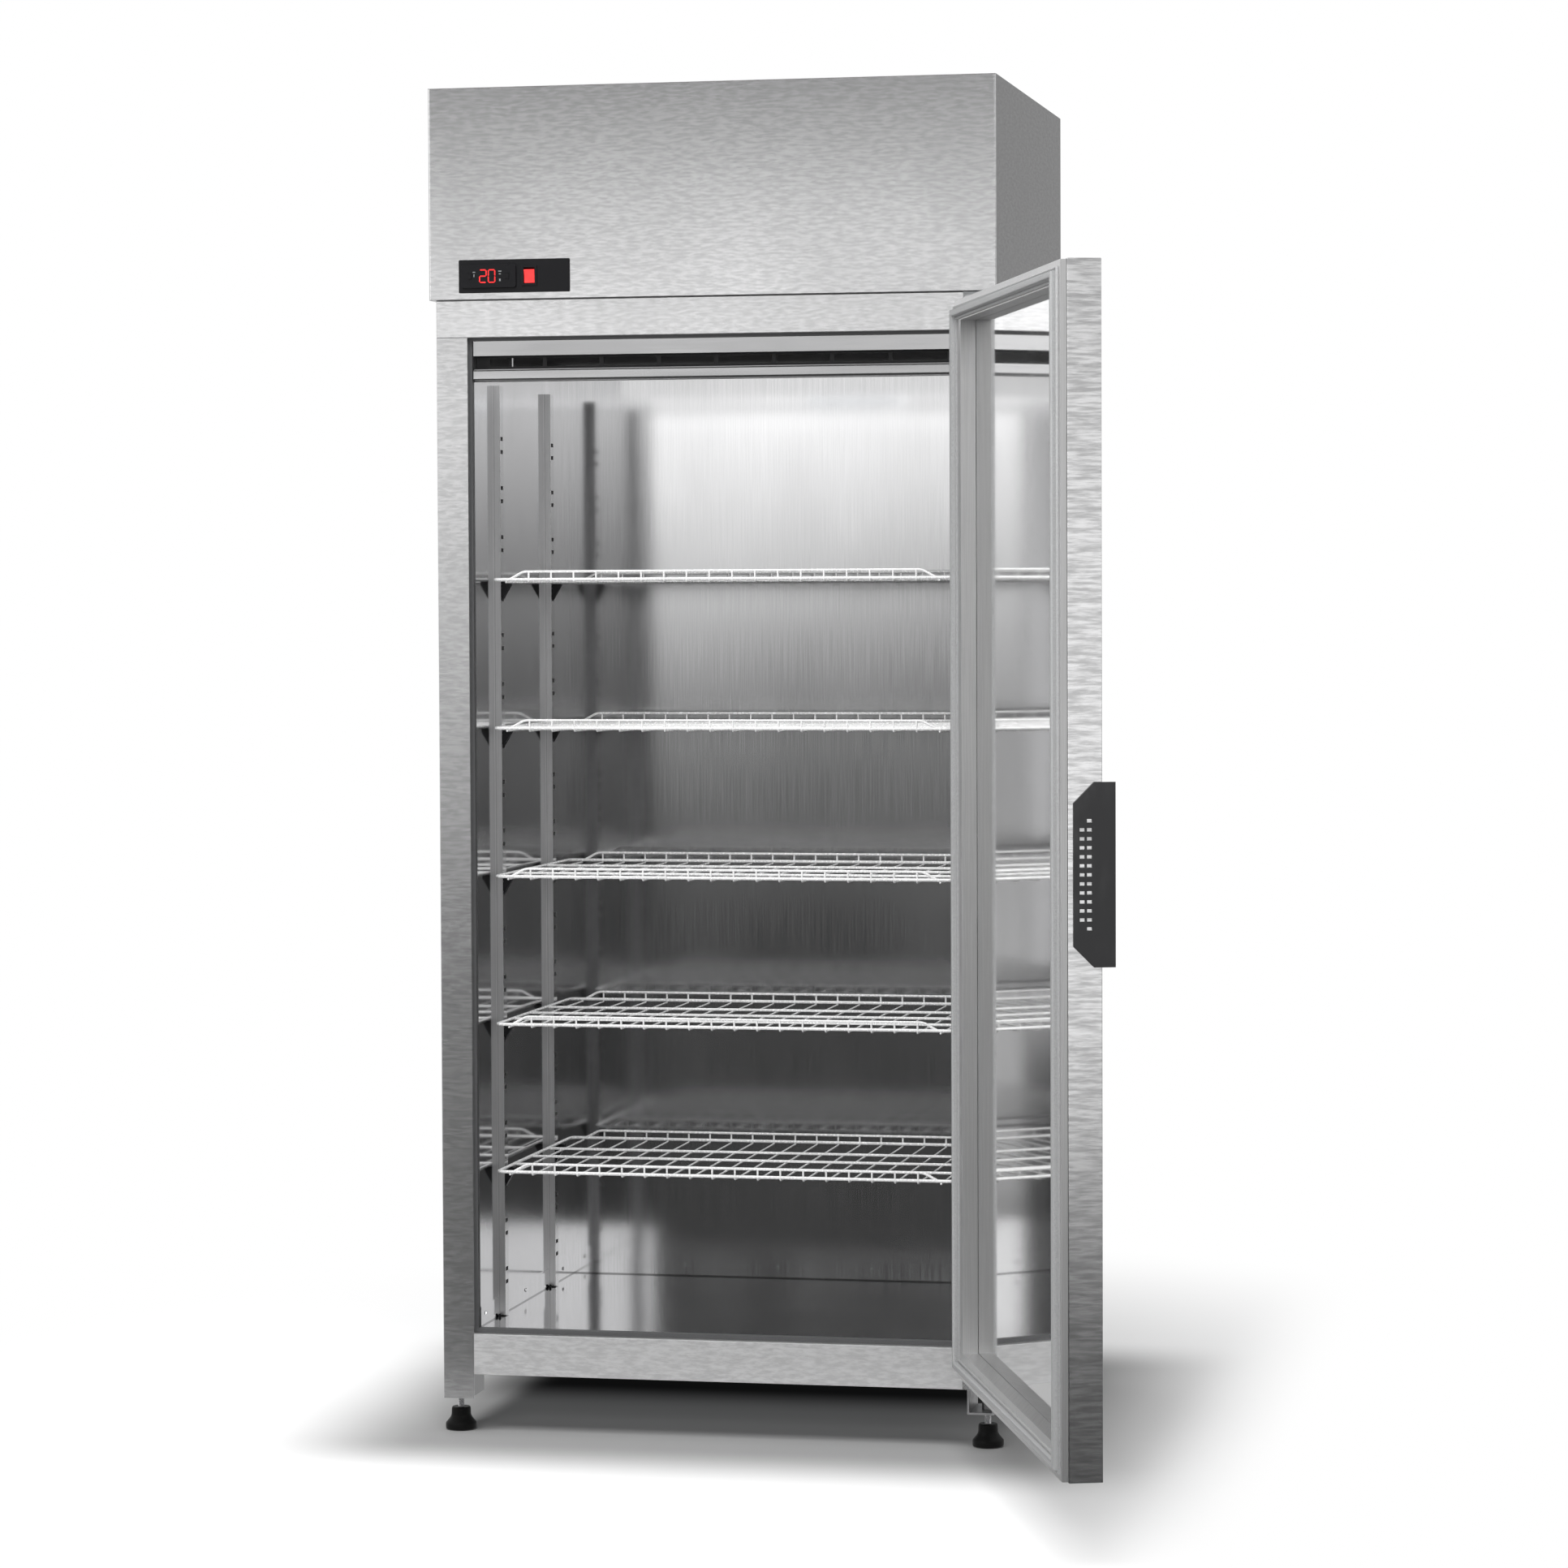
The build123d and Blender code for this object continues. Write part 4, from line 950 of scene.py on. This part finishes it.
@dataclass
class Studio:
    """Camera, lamps, world and floor.

    Attributes:
        spot: Place of the camera.
        yaw: Its turn to the left of straight ahead, in radians.
        pitch: How far it looks down, in radians.
        roll: Its roll, in radians.
        focal: Focal length in pixels of the square frame.
        frame_size: Width of the square frame in pixels.
        reach: Half the width of the floor.
        ambient: Brightness of the world for matt surfaces.
        side: Brightness that metal mirrors at the sides and overhead.
        rear: The same behind, to the right.
        far: The same low down in front.
        drop: How far below level the horizon lies at the left, as a share of the distance ahead.
        climb: How much higher it lies at the right.
        glow: Added brightness of the front above the horizon, left of the right bank.
        ground: Brightness that metal mirrors on the floor at the sides.
        dim: The same on the floor in front.
        sink: How far the floor lies below the feet.
        STEPS: Brightness that each level of the front adds, and the heights between which it does.
        ZONES: What stands in front, in the order in which one covers another.
        SHADOWS: Grey, edge sideways, middle and edge front to back of each shadow painted into the floor's
            colour under the object.
        STRETCHES: Added brightness, edge sideways and edge ahead of each bright stretch of floor.
    """

    spot: Point = (1.4907, -6.9656, 1.2562)
    yaw: float = 0.20514
    pitch: float = 0.03983
    roll: float = -0.00418
    focal: float = 5640.8
    frame_size: float = 1932.0
    reach: float = 14.0
    ambient: float = 0.26
    side: float = 0.80
    rear: float = 0.27
    far: float = 0.03
    drop: float = 0.0105
    climb: float = 0.034
    glow: float = 0.75
    ground: float = 0.50
    dim: float = 0.05
    sink: float = 0.0005
    STEPS: ClassVar[Sequence[tuple[float, tuple[float, float]]]] = (
        (0.12, (-0.115, -0.030)),
        (0.55, (-0.026, 0.018)),
        (0.60, (-0.005, 0.024)),
    )
    ZONES: ClassVar[dict[str, Zone]] = {
        "right bank": Zone(1.15, [(0.34, 0.48)]),
        "dark lane": Zone(0.04, [(-0.60, -0.45), (0.12, 0.02)], (0.068, 0.108)),
        "left bank": Zone(0.50, [(-0.50, -0.56)], (0.020, -0.010)),
        "right shade": Zone(0.0, [(0.50, 0.58)], (0.030, 0.070), 0.5),
        "upper right dark": Zone(0.0, [(0.48, 0.54)], (0.095, 0.125), 0.9),
    }
    SHADOWS: ClassVar[Sequence[tuple]] = (
        (0.32, (0.75, 0.42), 0.02, (0.70, 0.40)),
        (0.02, (0.52, 0.36), 0.22, (0.28, 0.08)),
    )
    STRETCHES: ClassVar[Sequence[tuple]] = (
        (1.05, (0.30, 0.46), (3.6, 6.2)),
        (0.60, (-0.50, -0.56), (1.0, 2.0)),
    )

    def camera(self) -> None:
        """Sets up the camera at the photograph's angle."""
        lens = bpy.data.cameras.new("view")
        lens.sensor_width = 36.0
        lens.sensor_fit = "HORIZONTAL"
        lens.lens = self.focal / self.frame_size * lens.sensor_width
        lens.clip_end = 100.0
        eye = bpy.data.objects.new("view", lens)
        bpy.context.scene.collection.objects.link(eye)
        aim = Matrix.Rotation(self.yaw, 4, "Z") @ Matrix.Rotation(math.pi / 2 - self.pitch, 4, "X")
        eye.matrix_world = Matrix.Translation(self.spot) @ aim @ Matrix.Rotation(self.roll, 4, "Z")
        bpy.context.scene.camera = eye

    def lamp(self, name: str, spot: Point, aim: Point, size: tuple[float, float], power: float) -> None:
        """Adds one soft box.

        Args:
            name: Its name.
            spot: Its place.
            aim: The point that it faces.
            size: Its width and height.
            power: Its power in watts.
        """
        light = bpy.data.lights.new(name, "AREA")
        light.shape = "RECTANGLE"
        light.size, light.size_y = size
        light.energy = power
        box = bpy.data.objects.new(name, light)
        box.visible_glossy = False
        bpy.context.scene.collection.objects.link(box)
        box.location = spot
        box.rotation_euler = (Vector(aim) - Vector(spot)).to_track_quat("-Z", "Y").to_euler()

    def world(self) -> None:
        """White round the camera's view, and a studio with a dim far front for metal to mirror."""
        scene = bpy.context.scene
        scene.world = bpy.data.worlds.new("studio")
        scene.world.use_nodes = True
        recipe = Recipe(scene.world.node_tree)
        x, y, z = recipe.axes(recipe.coordinates.outputs["Generated"])
        seen = recipe.ray("Camera") + recipe.ray("Transmission")
        mirrored = recipe.ray("Glossy")
        ahead = y * -1.0
        across, rise = x / ahead, z / ahead
        height = rise + self.drop - across.eased(-0.30, -0.02) * self.climb
        front = self.far + rise.eased(0.020, 0.070) * across.eased(0.20, 0.05) * self.glow
        for gain, edge in self.STEPS:
            front = front + height.eased(*edge) * gain
        for zone in self.ZONES.values():
            front = zone.over(front, across, rise)
        behind = y.eased(0.70, 0.90) * x.eased(0.0, 0.12)
        rest = self.side - behind * (self.side - self.rear)
        mirror = rest + y.eased(-0.45, -0.75) * (front - rest)
        room = self.ambient + mirrored * (mirror - self.ambient)
        levels = {0: seen, 2: room, 3: 1.0}
        strength = recipe.node("ShaderNodeMix", {"clamp_factor": True}, levels).outputs[0]
        sky = recipe.node("ShaderNodeBackground", None, {"Color": WHITE, "Strength": strength})
        recipe.node("ShaderNodeOutputWorld", None, {"Surface": sky.outputs[0]})

    def floor(self) -> None:
        """Pale floor that keeps the lamps' shadow and a painted shadow near the object, and melts into white
        further out.
        """
        deselect()
        bpy.ops.mesh.primitive_plane_add(size=2 * self.reach, location=(0.0, 0.0, -self.sink))
        ground = seated("floor")
        with editing(ground):
            bpy.ops.mesh.select_all(action="SELECT")
            bpy.ops.mesh.subdivide(number_cuts=8)
        made = bpy.data.materials.new("pale_floor")
        made.use_nodes = True
        recipe = Recipe(made.node_tree)
        x, y = recipe.axes()[:2]
        far = ((x * x + (y * 0.8) ** 2.0) ** 0.5).eased(0.6, 1.5)
        far = far + (1.0 - far) * x.eased(0.62, 0.85)
        pale = (0.92, 0.92, 0.92)
        # Painted shadow: the floor's colour darkens to grey under and behind the object.
        for grey, across, middle, along in self.SHADOWS:
            beneath = abs(x).eased(*across) * abs(y - middle).eased(*along)
            pale = recipe.blend(beneath, pale, (grey,) * 3)
        mirrored = recipe.ray("Glossy")
        ahead = y * -1.0
        seen = self.ground - ahead.eased(0.2, 1.2) * (self.ground - self.dim)
        for gain, across, along in self.STRETCHES:
            seen = seen + (x / ahead).eased(*across) * ahead.eased(*along) * gain
        lit = recipe.node("ShaderNodeBsdfDiffuse", None, {"Color": pale})
        strength = 1.0 + mirrored * (seen - 1.0)
        white = recipe.node("ShaderNodeEmission", None, {"Color": WHITE, "Strength": strength})
        share = far + mirrored * (1.0 - far)
        both = recipe.node("ShaderNodeMixShader", None, {0: share, 1: lit.outputs[0], 2: white.outputs[0]})
        recipe.node("ShaderNodeOutputMaterial", None, {"Surface": both.outputs[0]})
        ground.data.materials.append(made)

    def build(self) -> None:
        """Sets up everything round the object."""
        view = bpy.context.scene.view_settings
        view.view_transform = "Standard"
        self.camera()
        self.world()
        self.floor()
        self.lamp("key", (-0.6, -3.4, 5.2), (0.0, -0.2, 0.8), (4.0, 2.6), 310.0)
        self.lamp("fill", (4.4, -2.4, 3.6), (0.1, -0.2, 1.1), (2.5, 3.0), 40.0)
        self.lamp("front", (-0.6, -6.4, 2.8), (0.0, 0.0, 1.0), (3.0, 1.5), 90.0)
        self.lamp("top", (0.0, 0.6, 5.4), (0.0, 0.0, 1.0), (4.0, 3.0), 110.0)
        log.info("studio is set")


@dataclass
class Shell:
    """Cabinet walls and the hood, as folded sheet with rounded folds.

    Attributes:
        half: Half the cabinet's width.
        front: Front face of the cabinet.
        side_fold: Outer radius of the side panels' front folds.
        strip_fold: The same of the header and the sill.
        hood_fold: The same of the hood's cover.
        lid_fold: The same of the hood's lid.
        hood_half: Half the hood's width.
        hood_front: Front face of the hood.
        hood_base: Underside of the hood.
    """

    half: float = 0.422
    front: float = -0.322
    side_fold: float = 0.0018
    strip_fold: float = 0.0012
    hood_fold: float = 0.0025
    lid_fold: float = 0.0008
    hood_half: float = 0.430
    hood_front: float = -0.332
    hood_base: float = 1.709

    def panels(self) -> None:
        """The two sides, the header and the sill."""
        for side in ("left_side_panel", "right_side_panel"):
            resheeted(side, side.replace("_panel", "_sheet"), SHELL_STEEL, self.side_fold, self.upright_edge)
        for rail, steel in (("header_panel", HEADER_STEEL), ("sill_panel", SILL_STEEL)):
            resheeted(rail, rail.replace("_panel", "_strip"), steel, self.strip_fold, self.level_edge)

    def upright_edge(self, middle: Vector, way: Vector) -> bool:
        """Whether an edge is the upright fold at a front corner of the cabinet."""
        return abs(way.z) > 0.9 and near(abs(middle.x), self.half) and near(middle.y, self.front)

    def level_edge(self, middle: Vector, way: Vector) -> bool:
        """Whether an edge is a level fold of the header or the sill."""
        return abs(way.x) > 0.9 and near(middle.y, self.front)

    def hood(self) -> None:
        """The hood's cover and lid."""
        lid_edge = lambda middle, way: near(middle.y, self.hood_front)
        resheeted("hood_cover", "hood_sheet", HOOD_STEEL, self.hood_fold, self.hood_edge)
        resheeted("hood_top", "hood_lid", HOOD_STEEL, self.lid_fold, lid_edge)

    def hood_edge(self, middle: Vector, way: Vector) -> bool:
        """Whether an edge is an outer fold of the hood's cover."""
        upright = abs(way.z) > 0.9 and near(abs(middle.x), self.hood_half)
        level = abs(way.x) > 0.9 and near(middle.z, self.hood_base)
        return near(middle.y, self.hood_front) and (upright or level)

    def build(self) -> None:
        """Builds the whole shell."""
        self.panels()
        self.hood()


@dataclass
class WireShelf:
    """Welded wire shelf on its clips.

    Attributes:
        half: Half its width.
        front: Front of its frame.
        back: Rear of its frame.
        level: Height of the lowest shelf's frame wire.
        count: Number of shelves.
        pitch: Height from one shelf to the next.
        rod: Diameter of the frame wire.
        corner: Inner radius of its corners.
        cross: Diameter of the cross wires.
        cross_pitch: Distance between cross wires.
        cross_count: Number of cross wires.
        crest: Height of the upstand above the frame wire.
        long: Diameter of the wires that run across the shelf's width.
        long_pitch: Distance between them.
        upstand_foot: Width of an upstand where it leaves the frame.
        upstand_top: Width of an upstand at its top.
        upstand_bend: Inner radius of its bends.
    """

    half: float = 0.355
    front: float = -0.262
    back: float = 0.194
    level: float = 0.391
    count: int = 5
    pitch: float = 0.225
    rod: float = 0.005
    corner: float = 0.008
    cross: float = 0.003
    cross_pitch: float = 0.035
    cross_count: int = 20
    crest: float = 0.014
    long: float = 0.004
    long_pitch: float = 0.1015
    upstand_foot: float = 0.656
    upstand_top: float = 0.612
    upstand_bend: float = 0.003

    def frame_wire(self) -> bpy.types.Object:
        """The closed frame with its rounded corners."""
        size = (2 * self.half - self.rod, self.back - self.front - self.rod)
        outline = sheet_outline((0.0, (self.front + self.back) / 2, self.level), size)
        return wire("frame_wire", outline, None, self.corner, self.rod, 4)

    def upstand(self, y: float) -> bpy.types.Object:
        """The raised wire over the front or rear of the frame, sloping down at its ends."""
        top = self.level + self.crest - self.long / 2
        foot = self.level
        outline = sheet_outline((0.0, y, (top + foot) / 2), (self.upstand_foot, top - foot), True)
        with editing(outline, "VERT"):
            pick(lambda vertex: vertex.co.z > foot + 0.001, "verts")
            bpy.ops.transform.resize(value=(self.upstand_top / self.upstand_foot, 1.0, 1.0))
        lowest = lambda edge: all(vertex.co.z < foot + 0.001 for vertex in edge.verts)
        return wire("upstand", outline, lowest, self.upstand_bend, self.long, 3)

    def cross_wires(self) -> list[bpy.types.Object]:
        """Cross wires under the frame; all but the outermost turn up into both upstands."""
        low = self.level - self.rod / 2 - self.cross / 2
        top = self.level + self.crest - self.cross / 2
        run = self.back - self.front - self.cross
        centre = (0.0, (self.front + self.back) / 2, (low + top) / 2)
        outline = sheet_outline(centre, (run, top - low), True, math.pi / 2)
        highest = lambda edge: all(vertex.co.z > top - 0.001 for vertex in edge.verts)
        bent = wire("cross_wire", outline, highest, self.cross / 2, self.cross, 2)
        straight = block(
            "outer_wire",
            (-self.cross / 2, self.front, low - self.cross / 2),
            (self.cross / 2, self.back, low + self.cross / 2),
        )
        bevelled(straight, self.cross * 0.29, 1)
        places = [(step - (self.cross_count - 1) / 2) * self.cross_pitch for step in range(self.cross_count)]
        made = [copied(bent, "bent", (place, 0, 0)) for place in places[1:-1]]
        made += [copied(straight, "end", (place, 0, 0)) for place in (places[0], places[-1])]
        for pattern in (bent, straight):
            bpy.data.objects.remove(pattern)
        return made

    def long_wires(self) -> list[bpy.types.Object]:
        """Wires along the shelf's width, welded on the cross wires."""
        made = []
        end = self.half - self.rod / 2
        low = self.level - self.rod / 2
        for step in (1, 2, 3):
            front = self.front + self.long_pitch * step
            rod = block("long", (-end, front, low), (end, front + self.long, low + self.long))
            made.append(bevelled(rod, self.long * 0.2875, 2))
        return made

    def build(self) -> None:
        """Builds one shelf and copies it to all five levels."""
        edges = (self.front + self.rod / 2, self.back - self.rod / 2)
        parts = [self.frame_wire()] + [self.upstand(y) for y in edges]
        parts += self.cross_wires() + self.long_wires()
        grids = [joined("shelf_grid_1", parts)]
        for step in range(1, self.count):
            grids.append(copied(grids[0], f"shelf_grid_{step + 1}", (0.0, 0.0, self.pitch * step)))
        for number, grid in enumerate(grids, 1):
            finished(grid, f"shelf_{number}", WIRE, [f"wire_shelf_{number}"], 50.0)


@dataclass
class FloorPlugs:
    """Black domed plugs in the lining's floor, one at the foot of each slotted rail.

    Attributes:
        x: Distance of each plug from the middle, sideways.
        places: Front and rear plug, front to back.
        floor: Top of the lining's floor.
    """

    x: float = 0.3666
    places: tuple[float, float] = (-0.2005, 0.1045)
    floor: float = 0.1590

    def build(self) -> None:
        """Turns one plug and copies it to the four rails."""
        rings = [(0.0, 0.0021), (0.0034, 0.0021), (0.0044, 0.0017), (0.0050, 0.0011), (0.0052, 0.0005)]
        plug = turned("plug", (0.0, 0.0, self.floor), rings, 20)
        plugs = [copied(plug, "plug", (x, y, 0.0)) for x in (-self.x, self.x) for y in self.places]
        bpy.data.objects.remove(plug)
        finished(joined("floor_plugs", plugs), "cabinet", BLACK_PLASTIC)


@dataclass
class LevellingFoot:
    """Rubber foot on its threaded stud.

    Attributes:
        x: Distance of each foot from the middle, sideways.
        y: Distance of each foot from the middle, front to back.
        stud_low: Height at which the stud starts, inside the pad.
        stud_high: Height of its end.
        thread: Pitch of its thread.
        crest: Radius of the thread's crests.
        root: Radius between them.
    """

    x: float = 0.406
    y: float = 0.282
    stud_low: float = 0.0330
    stud_high: float = 0.0820
    thread: float = 0.0015
    crest: float = 0.0049
    root: float = 0.0043

    def pad(self) -> bpy.types.Object:
        """Bell-shaped rubber pad."""
        rings = [
            (0.0, 0.0215), (0.0012, 0.0232), (0.0030, 0.0235), (0.0085, 0.0235), (0.0105, 0.0228),
            (0.0130, 0.0205), (0.0165, 0.0175), (0.0200, 0.0155), (0.0230, 0.0148), (0.0300, 0.0145),
            (0.0325, 0.0142), (0.0340, 0.0130), (0.0340, 0.0052),
        ]
        return turned("pad", (0.0, 0.0, 0.0), rings, 40)

    def stud(self) -> bpy.types.Object:
        """Threaded stud from the pad up into the bracket's nut."""
        length = self.stud_high - self.stud_low
        rings = [(0.0, self.crest)]
        height = self.thread
        while height < length - self.thread:
            rings += [(height, self.crest), (height + self.thread / 2, self.root)]
            height += self.thread
        rings += [(length - 0.0005, 0.0045), (length, 0.0040)]
        return turned("stud", (0.0, 0.0, self.stud_low), rings, 16)

    def build(self) -> None:
        """Builds one foot and copies it to the four corners."""
        pad, stud = self.pad(), self.stud()
        for side, sign in (("left", -1), ("right", 1)):
            for end, way in (("front", -1), ("rear", 1)):
                body = f"foot_{side}_{end}"
                place = (sign * self.x, way * self.y, 0.0)
                rubber = copied(pad, f"pad_{side}_{end}", place)
                finished(rubber, body, FOOT_RUBBER, [body], 30.0)
                threaded = copied(stud, f"stud_{side}_{end}", place)
                finished(threaded, body, BOLT_STEEL, (), 20.0)
        for pattern in (pad, stud):
            bpy.data.objects.remove(pattern)


@dataclass
class Door:
    """Glazed door's frame, cover, gasket and finger plate.

    Attributes:
        corner: The door's hinge-side corner on the floor plan, as it rests.
        turn: Its angle from closed, in degrees.
        width: Its width.
        low: Its lower edge.
        high: Its upper edge.
        depth: Its thickness without the gasket.
        frame_depth: How deep its frame is.
        frame_fold: Outer radius of the frame's folds.
        cover_fold: The same of the cover.
        plate_fold: The same of the finger plate.
        seal_inset: Distance of the gasket from the door's edges.
    """

    corner: tuple[float, float] = (0.42325, -0.34183)
    turn: float = 109.0
    width: float = 0.830
    low: float = 0.116
    high: float = 1.694
    depth: float = 0.054
    frame_depth: float = 0.045
    frame_fold: float = 0.0009
    cover_fold: float = 0.0005
    plate_fold: float = 0.0004
    seal_inset: float = 0.010

    def plane(self) -> Matrix:
        """Places a piece drawn on the closed door's face: across, up, and out of its inner face."""
        angle = math.radians(self.turn)
        across = Vector((-math.cos(angle), -math.sin(angle), 0.0))
        out = Vector((-math.sin(angle), math.cos(angle), 0.0))
        turned_axes = Matrix((across, Vector((0, 0, 1)), out)).transposed().to_4x4()
        return Matrix.Translation((*self.corner, 0.0)) @ turned_axes

    def gasket(self) -> None:
        """Hollow-lipped gasket with mitred corners, swept by insets from one plane."""
        deselect()
        size = (self.width - 2 * self.seal_inset, self.high - self.low - 2 * self.seal_inset)
        centre = (self.width / 2, (self.low + self.high) / 2, self.depth)
        bpy.ops.mesh.primitive_plane_add(size=1.0, location=centre)
        bpy.context.object.scale = (*size, 1.0)
        ring = seated("door_seal")
        insets = [
            (0.0004, 0.0030), (0.0012, 0.0008), (0.0020, -0.0006), (0.0008, -0.0012), (0.0008, 0.0050),
            (0.0008, 0.0022), (0.0014, 0.0008), (0.0052, 0.0000), (0.0014, -0.0008), (0.0008, -0.0022),
            (0.0008, -0.0050), (0.0008, 0.0010), (0.0020, 0.0006), (0.0014, -0.0006), (0.0004, -0.0030),
        ]
        with editing(ring):
            bpy.ops.mesh.select_all(action="SELECT")
            for inward, out in insets:
                bpy.ops.mesh.inset(thickness=inward, depth=out, use_even_offset=True)
            bpy.ops.mesh.delete(type="FACE")
        with editing(ring, "EDGE"):
            pick(lambda edge: edge.is_boundary, "edges")
            bpy.ops.mesh.bridge_edge_loops()
            bpy.ops.mesh.select_all(action="SELECT")
            bpy.ops.mesh.normals_make_consistent(inside=False)
        moved(ring, self.plane())
        finished(ring, "door", SEAL, ["door_gasket"], 50.0)

    def sheets(self) -> None:
        """Frame, cover and finger plate with eased edges."""
        resheeted("door_frame", "door_outer_frame", DOOR_STEEL, self.frame_fold, self.outer_edge, 2)
        resheeted("door_cover", "door_inner_cover", COVER_STEEL, self.cover_fold, segments=2)
        resheeted("handle_plate", "finger_plate", COAT, self.plate_fold, segments=2)

    def outer_edge(self, middle: Vector, way: Vector) -> bool:
        """Whether an edge lies on the door's outer rim."""
        local = self.plane().inverted() @ middle
        at_side = near(local.x, 0.0, self.width) or near(local.y, self.low, self.high)
        return at_side and near(local.z, 0.0, self.frame_depth)

    def build(self) -> None:
        """Builds the door's pieces."""
        self.gasket()
        self.sheets()


@dataclass
class Controls:
    """Display, bezels and lit rocker on the black control plate.

    Attributes:
        digit: Width and height of a digit.
        bar: Width of a digit's segments.
        space: Gap between the digits.
        offset: How far left of the window's middle the display sits.
        root: How deep digits and marks sit in the face.
        bezel_fold: Radius of the plates' edges.
        rocker_fold: Radius of the rocker's edges.
        digits: What the display shows.
        SEGMENTS: The bars of each figure.
        BARS: Place of each bar across and up, in widths and heights of a digit.
        BEZELS: Name of the scene's piece by the node that it replaces.
        MARKS: Place across and up, width and height of each plain mark beside the digits.
    """

    digit: tuple[float, float] = (0.0100, 0.0185)
    bar: float = 0.0017
    space: float = 0.0035
    offset: float = 0.002
    root: float = 0.0002
    bezel_fold: float = 0.0004
    rocker_fold: float = 0.0006
    digits: str = "20"
    SEGMENTS: ClassVar[dict[str, str]] = {"2": "abged", "0": "abcdef"}
    BARS: ClassVar[dict[str, tuple[float, float]]] = {
        "a": (0.0, 0.5),
        "b": (0.5, 0.25),
        "c": (0.5, -0.25),
        "d": (0.0, -0.5),
        "e": (-0.5, -0.25),
        "f": (-0.5, 0.25),
        "g": (0.0, 0.0),
    }
    MARKS: ClassVar[tuple[tuple[float, float, float, float], ...]] = (
        (-0.0205, 0.0060, 0.0040, 0.0014),
        (-0.0205, 0.0010, 0.0014, 0.0040),
        (0.0195, 0.0070, 0.0050, 0.0014),
        (0.0195, 0.0030, 0.0030, 0.0014),
        (0.0195, -0.0060, 0.0022, 0.0036),
    )
    BEZELS: ClassVar[dict[str, str]] = {
        "control_plate": "control_panel",
        "thermostat": "thermostat_bezel",
        "switch_housing": "switch_bezel",
    }

    def segment(
        self, name: str, centre: tuple[float, float], length: float, upright: bool, face: float
    ) -> bpy.types.Object:
        """One lit bar with pointed ends.

        Args:
            name: Name of the bar.
            centre: Its centre across and up.
            length: Its length.
            upright: Whether it stands.
            face: The face that it lies on.

        Returns:
            The bar.
        """
        size = (self.bar, length) if upright else (length, self.bar)
        bar = self.raised(name, centre, size, face, 0.0003)
        with editing(bar, "EDGE"):
            pick(lambda edge: abs((edge.verts[0].co - edge.verts[1].co).normalized().y) > 0.9, "edges")
            bpy.ops.mesh.bevel(offset=self.bar * 0.42, segments=1, affect="EDGES")
        return bar

    def raised(
        self, name: str, centre: tuple[float, float], size: tuple[float, float], face: float, height: float
    ) -> bpy.types.Object:
        """A thin block that stands out of the display's face.

        Args:
            name: Name of the block.
            centre: Its centre across and up.
            size: Its width and height.
            face: The face that it lies on.
            height: How far it stands out.

        Returns:
            The block.
        """
        (x, z), (across, up) = centre, size
        low = (x - across / 2, face - height, z - up / 2)
        return block(name, low, (x + across / 2, face + self.root, z + up / 2))

    def display(self) -> None:
        """Digits and small plain marks on the thermostat's window."""
        low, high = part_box("thermostat")
        face = low[1]
        centre = ((low[0] + high[0]) / 2 - self.offset, (low[2] + high[2]) / 2)
        wide, tall = self.digit
        bars = []
        for number, figure in enumerate(self.digits):
            middle = centre[0] + (number - 0.5) * (wide + self.space)
            for letter in self.SEGMENTS[figure]:
                across, up = self.BARS[letter]
                place = (middle + wide * across, centre[1] + tall * up)
                length = tall / 2 if across else wide
                bars.append(self.segment(f"bar_{number}{letter}", place, length * 0.9, bool(across), face))
        finished(joined("display_digits", bars), "cabinet", DIGIT_RED)
        marks = []
        for number, (x, z, wide, tall) in enumerate(self.MARKS):
            place = (x + centre[0], z + centre[1])
            mark = self.raised(f"mark_{number}", place, (wide, tall), face, 0.0002)
            marks.append(bevelled(mark, 0.0001, 1))
        finished(joined("display_marks", marks), "cabinet", MARK_GREY)

    def build(self) -> None:
        """Builds the control panel's pieces."""
        for node, name in self.BEZELS.items():
            resheeted(node, name, BLACK_PLASTIC, self.bezel_fold, segments=2)
        resheeted("rocker", "lit_rocker", ROCKER_RED, self.rocker_fold)
        self.display()


def dress_nodes() -> None:
    """Gives every frame node that still shows the finish of its slot."""
    for name, node in frame["nodes"].items():
        finish = NODE_FINISH.get(name, SLOT_FINISH[SLOTS[name]])
        if not node.material_slots:
            node.data.materials.append(None)
        for slot in node.material_slots:
            slot.material = finish.material()
        log.info("%s has %s", name, finish.name)


def main() -> None:
    """Builds the scene in order."""
    logging.basicConfig(level=logging.INFO, format="%(name)s: %(message)s")
    Studio().build()
    dress_nodes()
    for assembly in (Shell(), Controls(), Door(), WireShelf(), FloorPlugs(), LevellingFoot()):
        assembly.build()


if __name__ == "__main__":
    main()
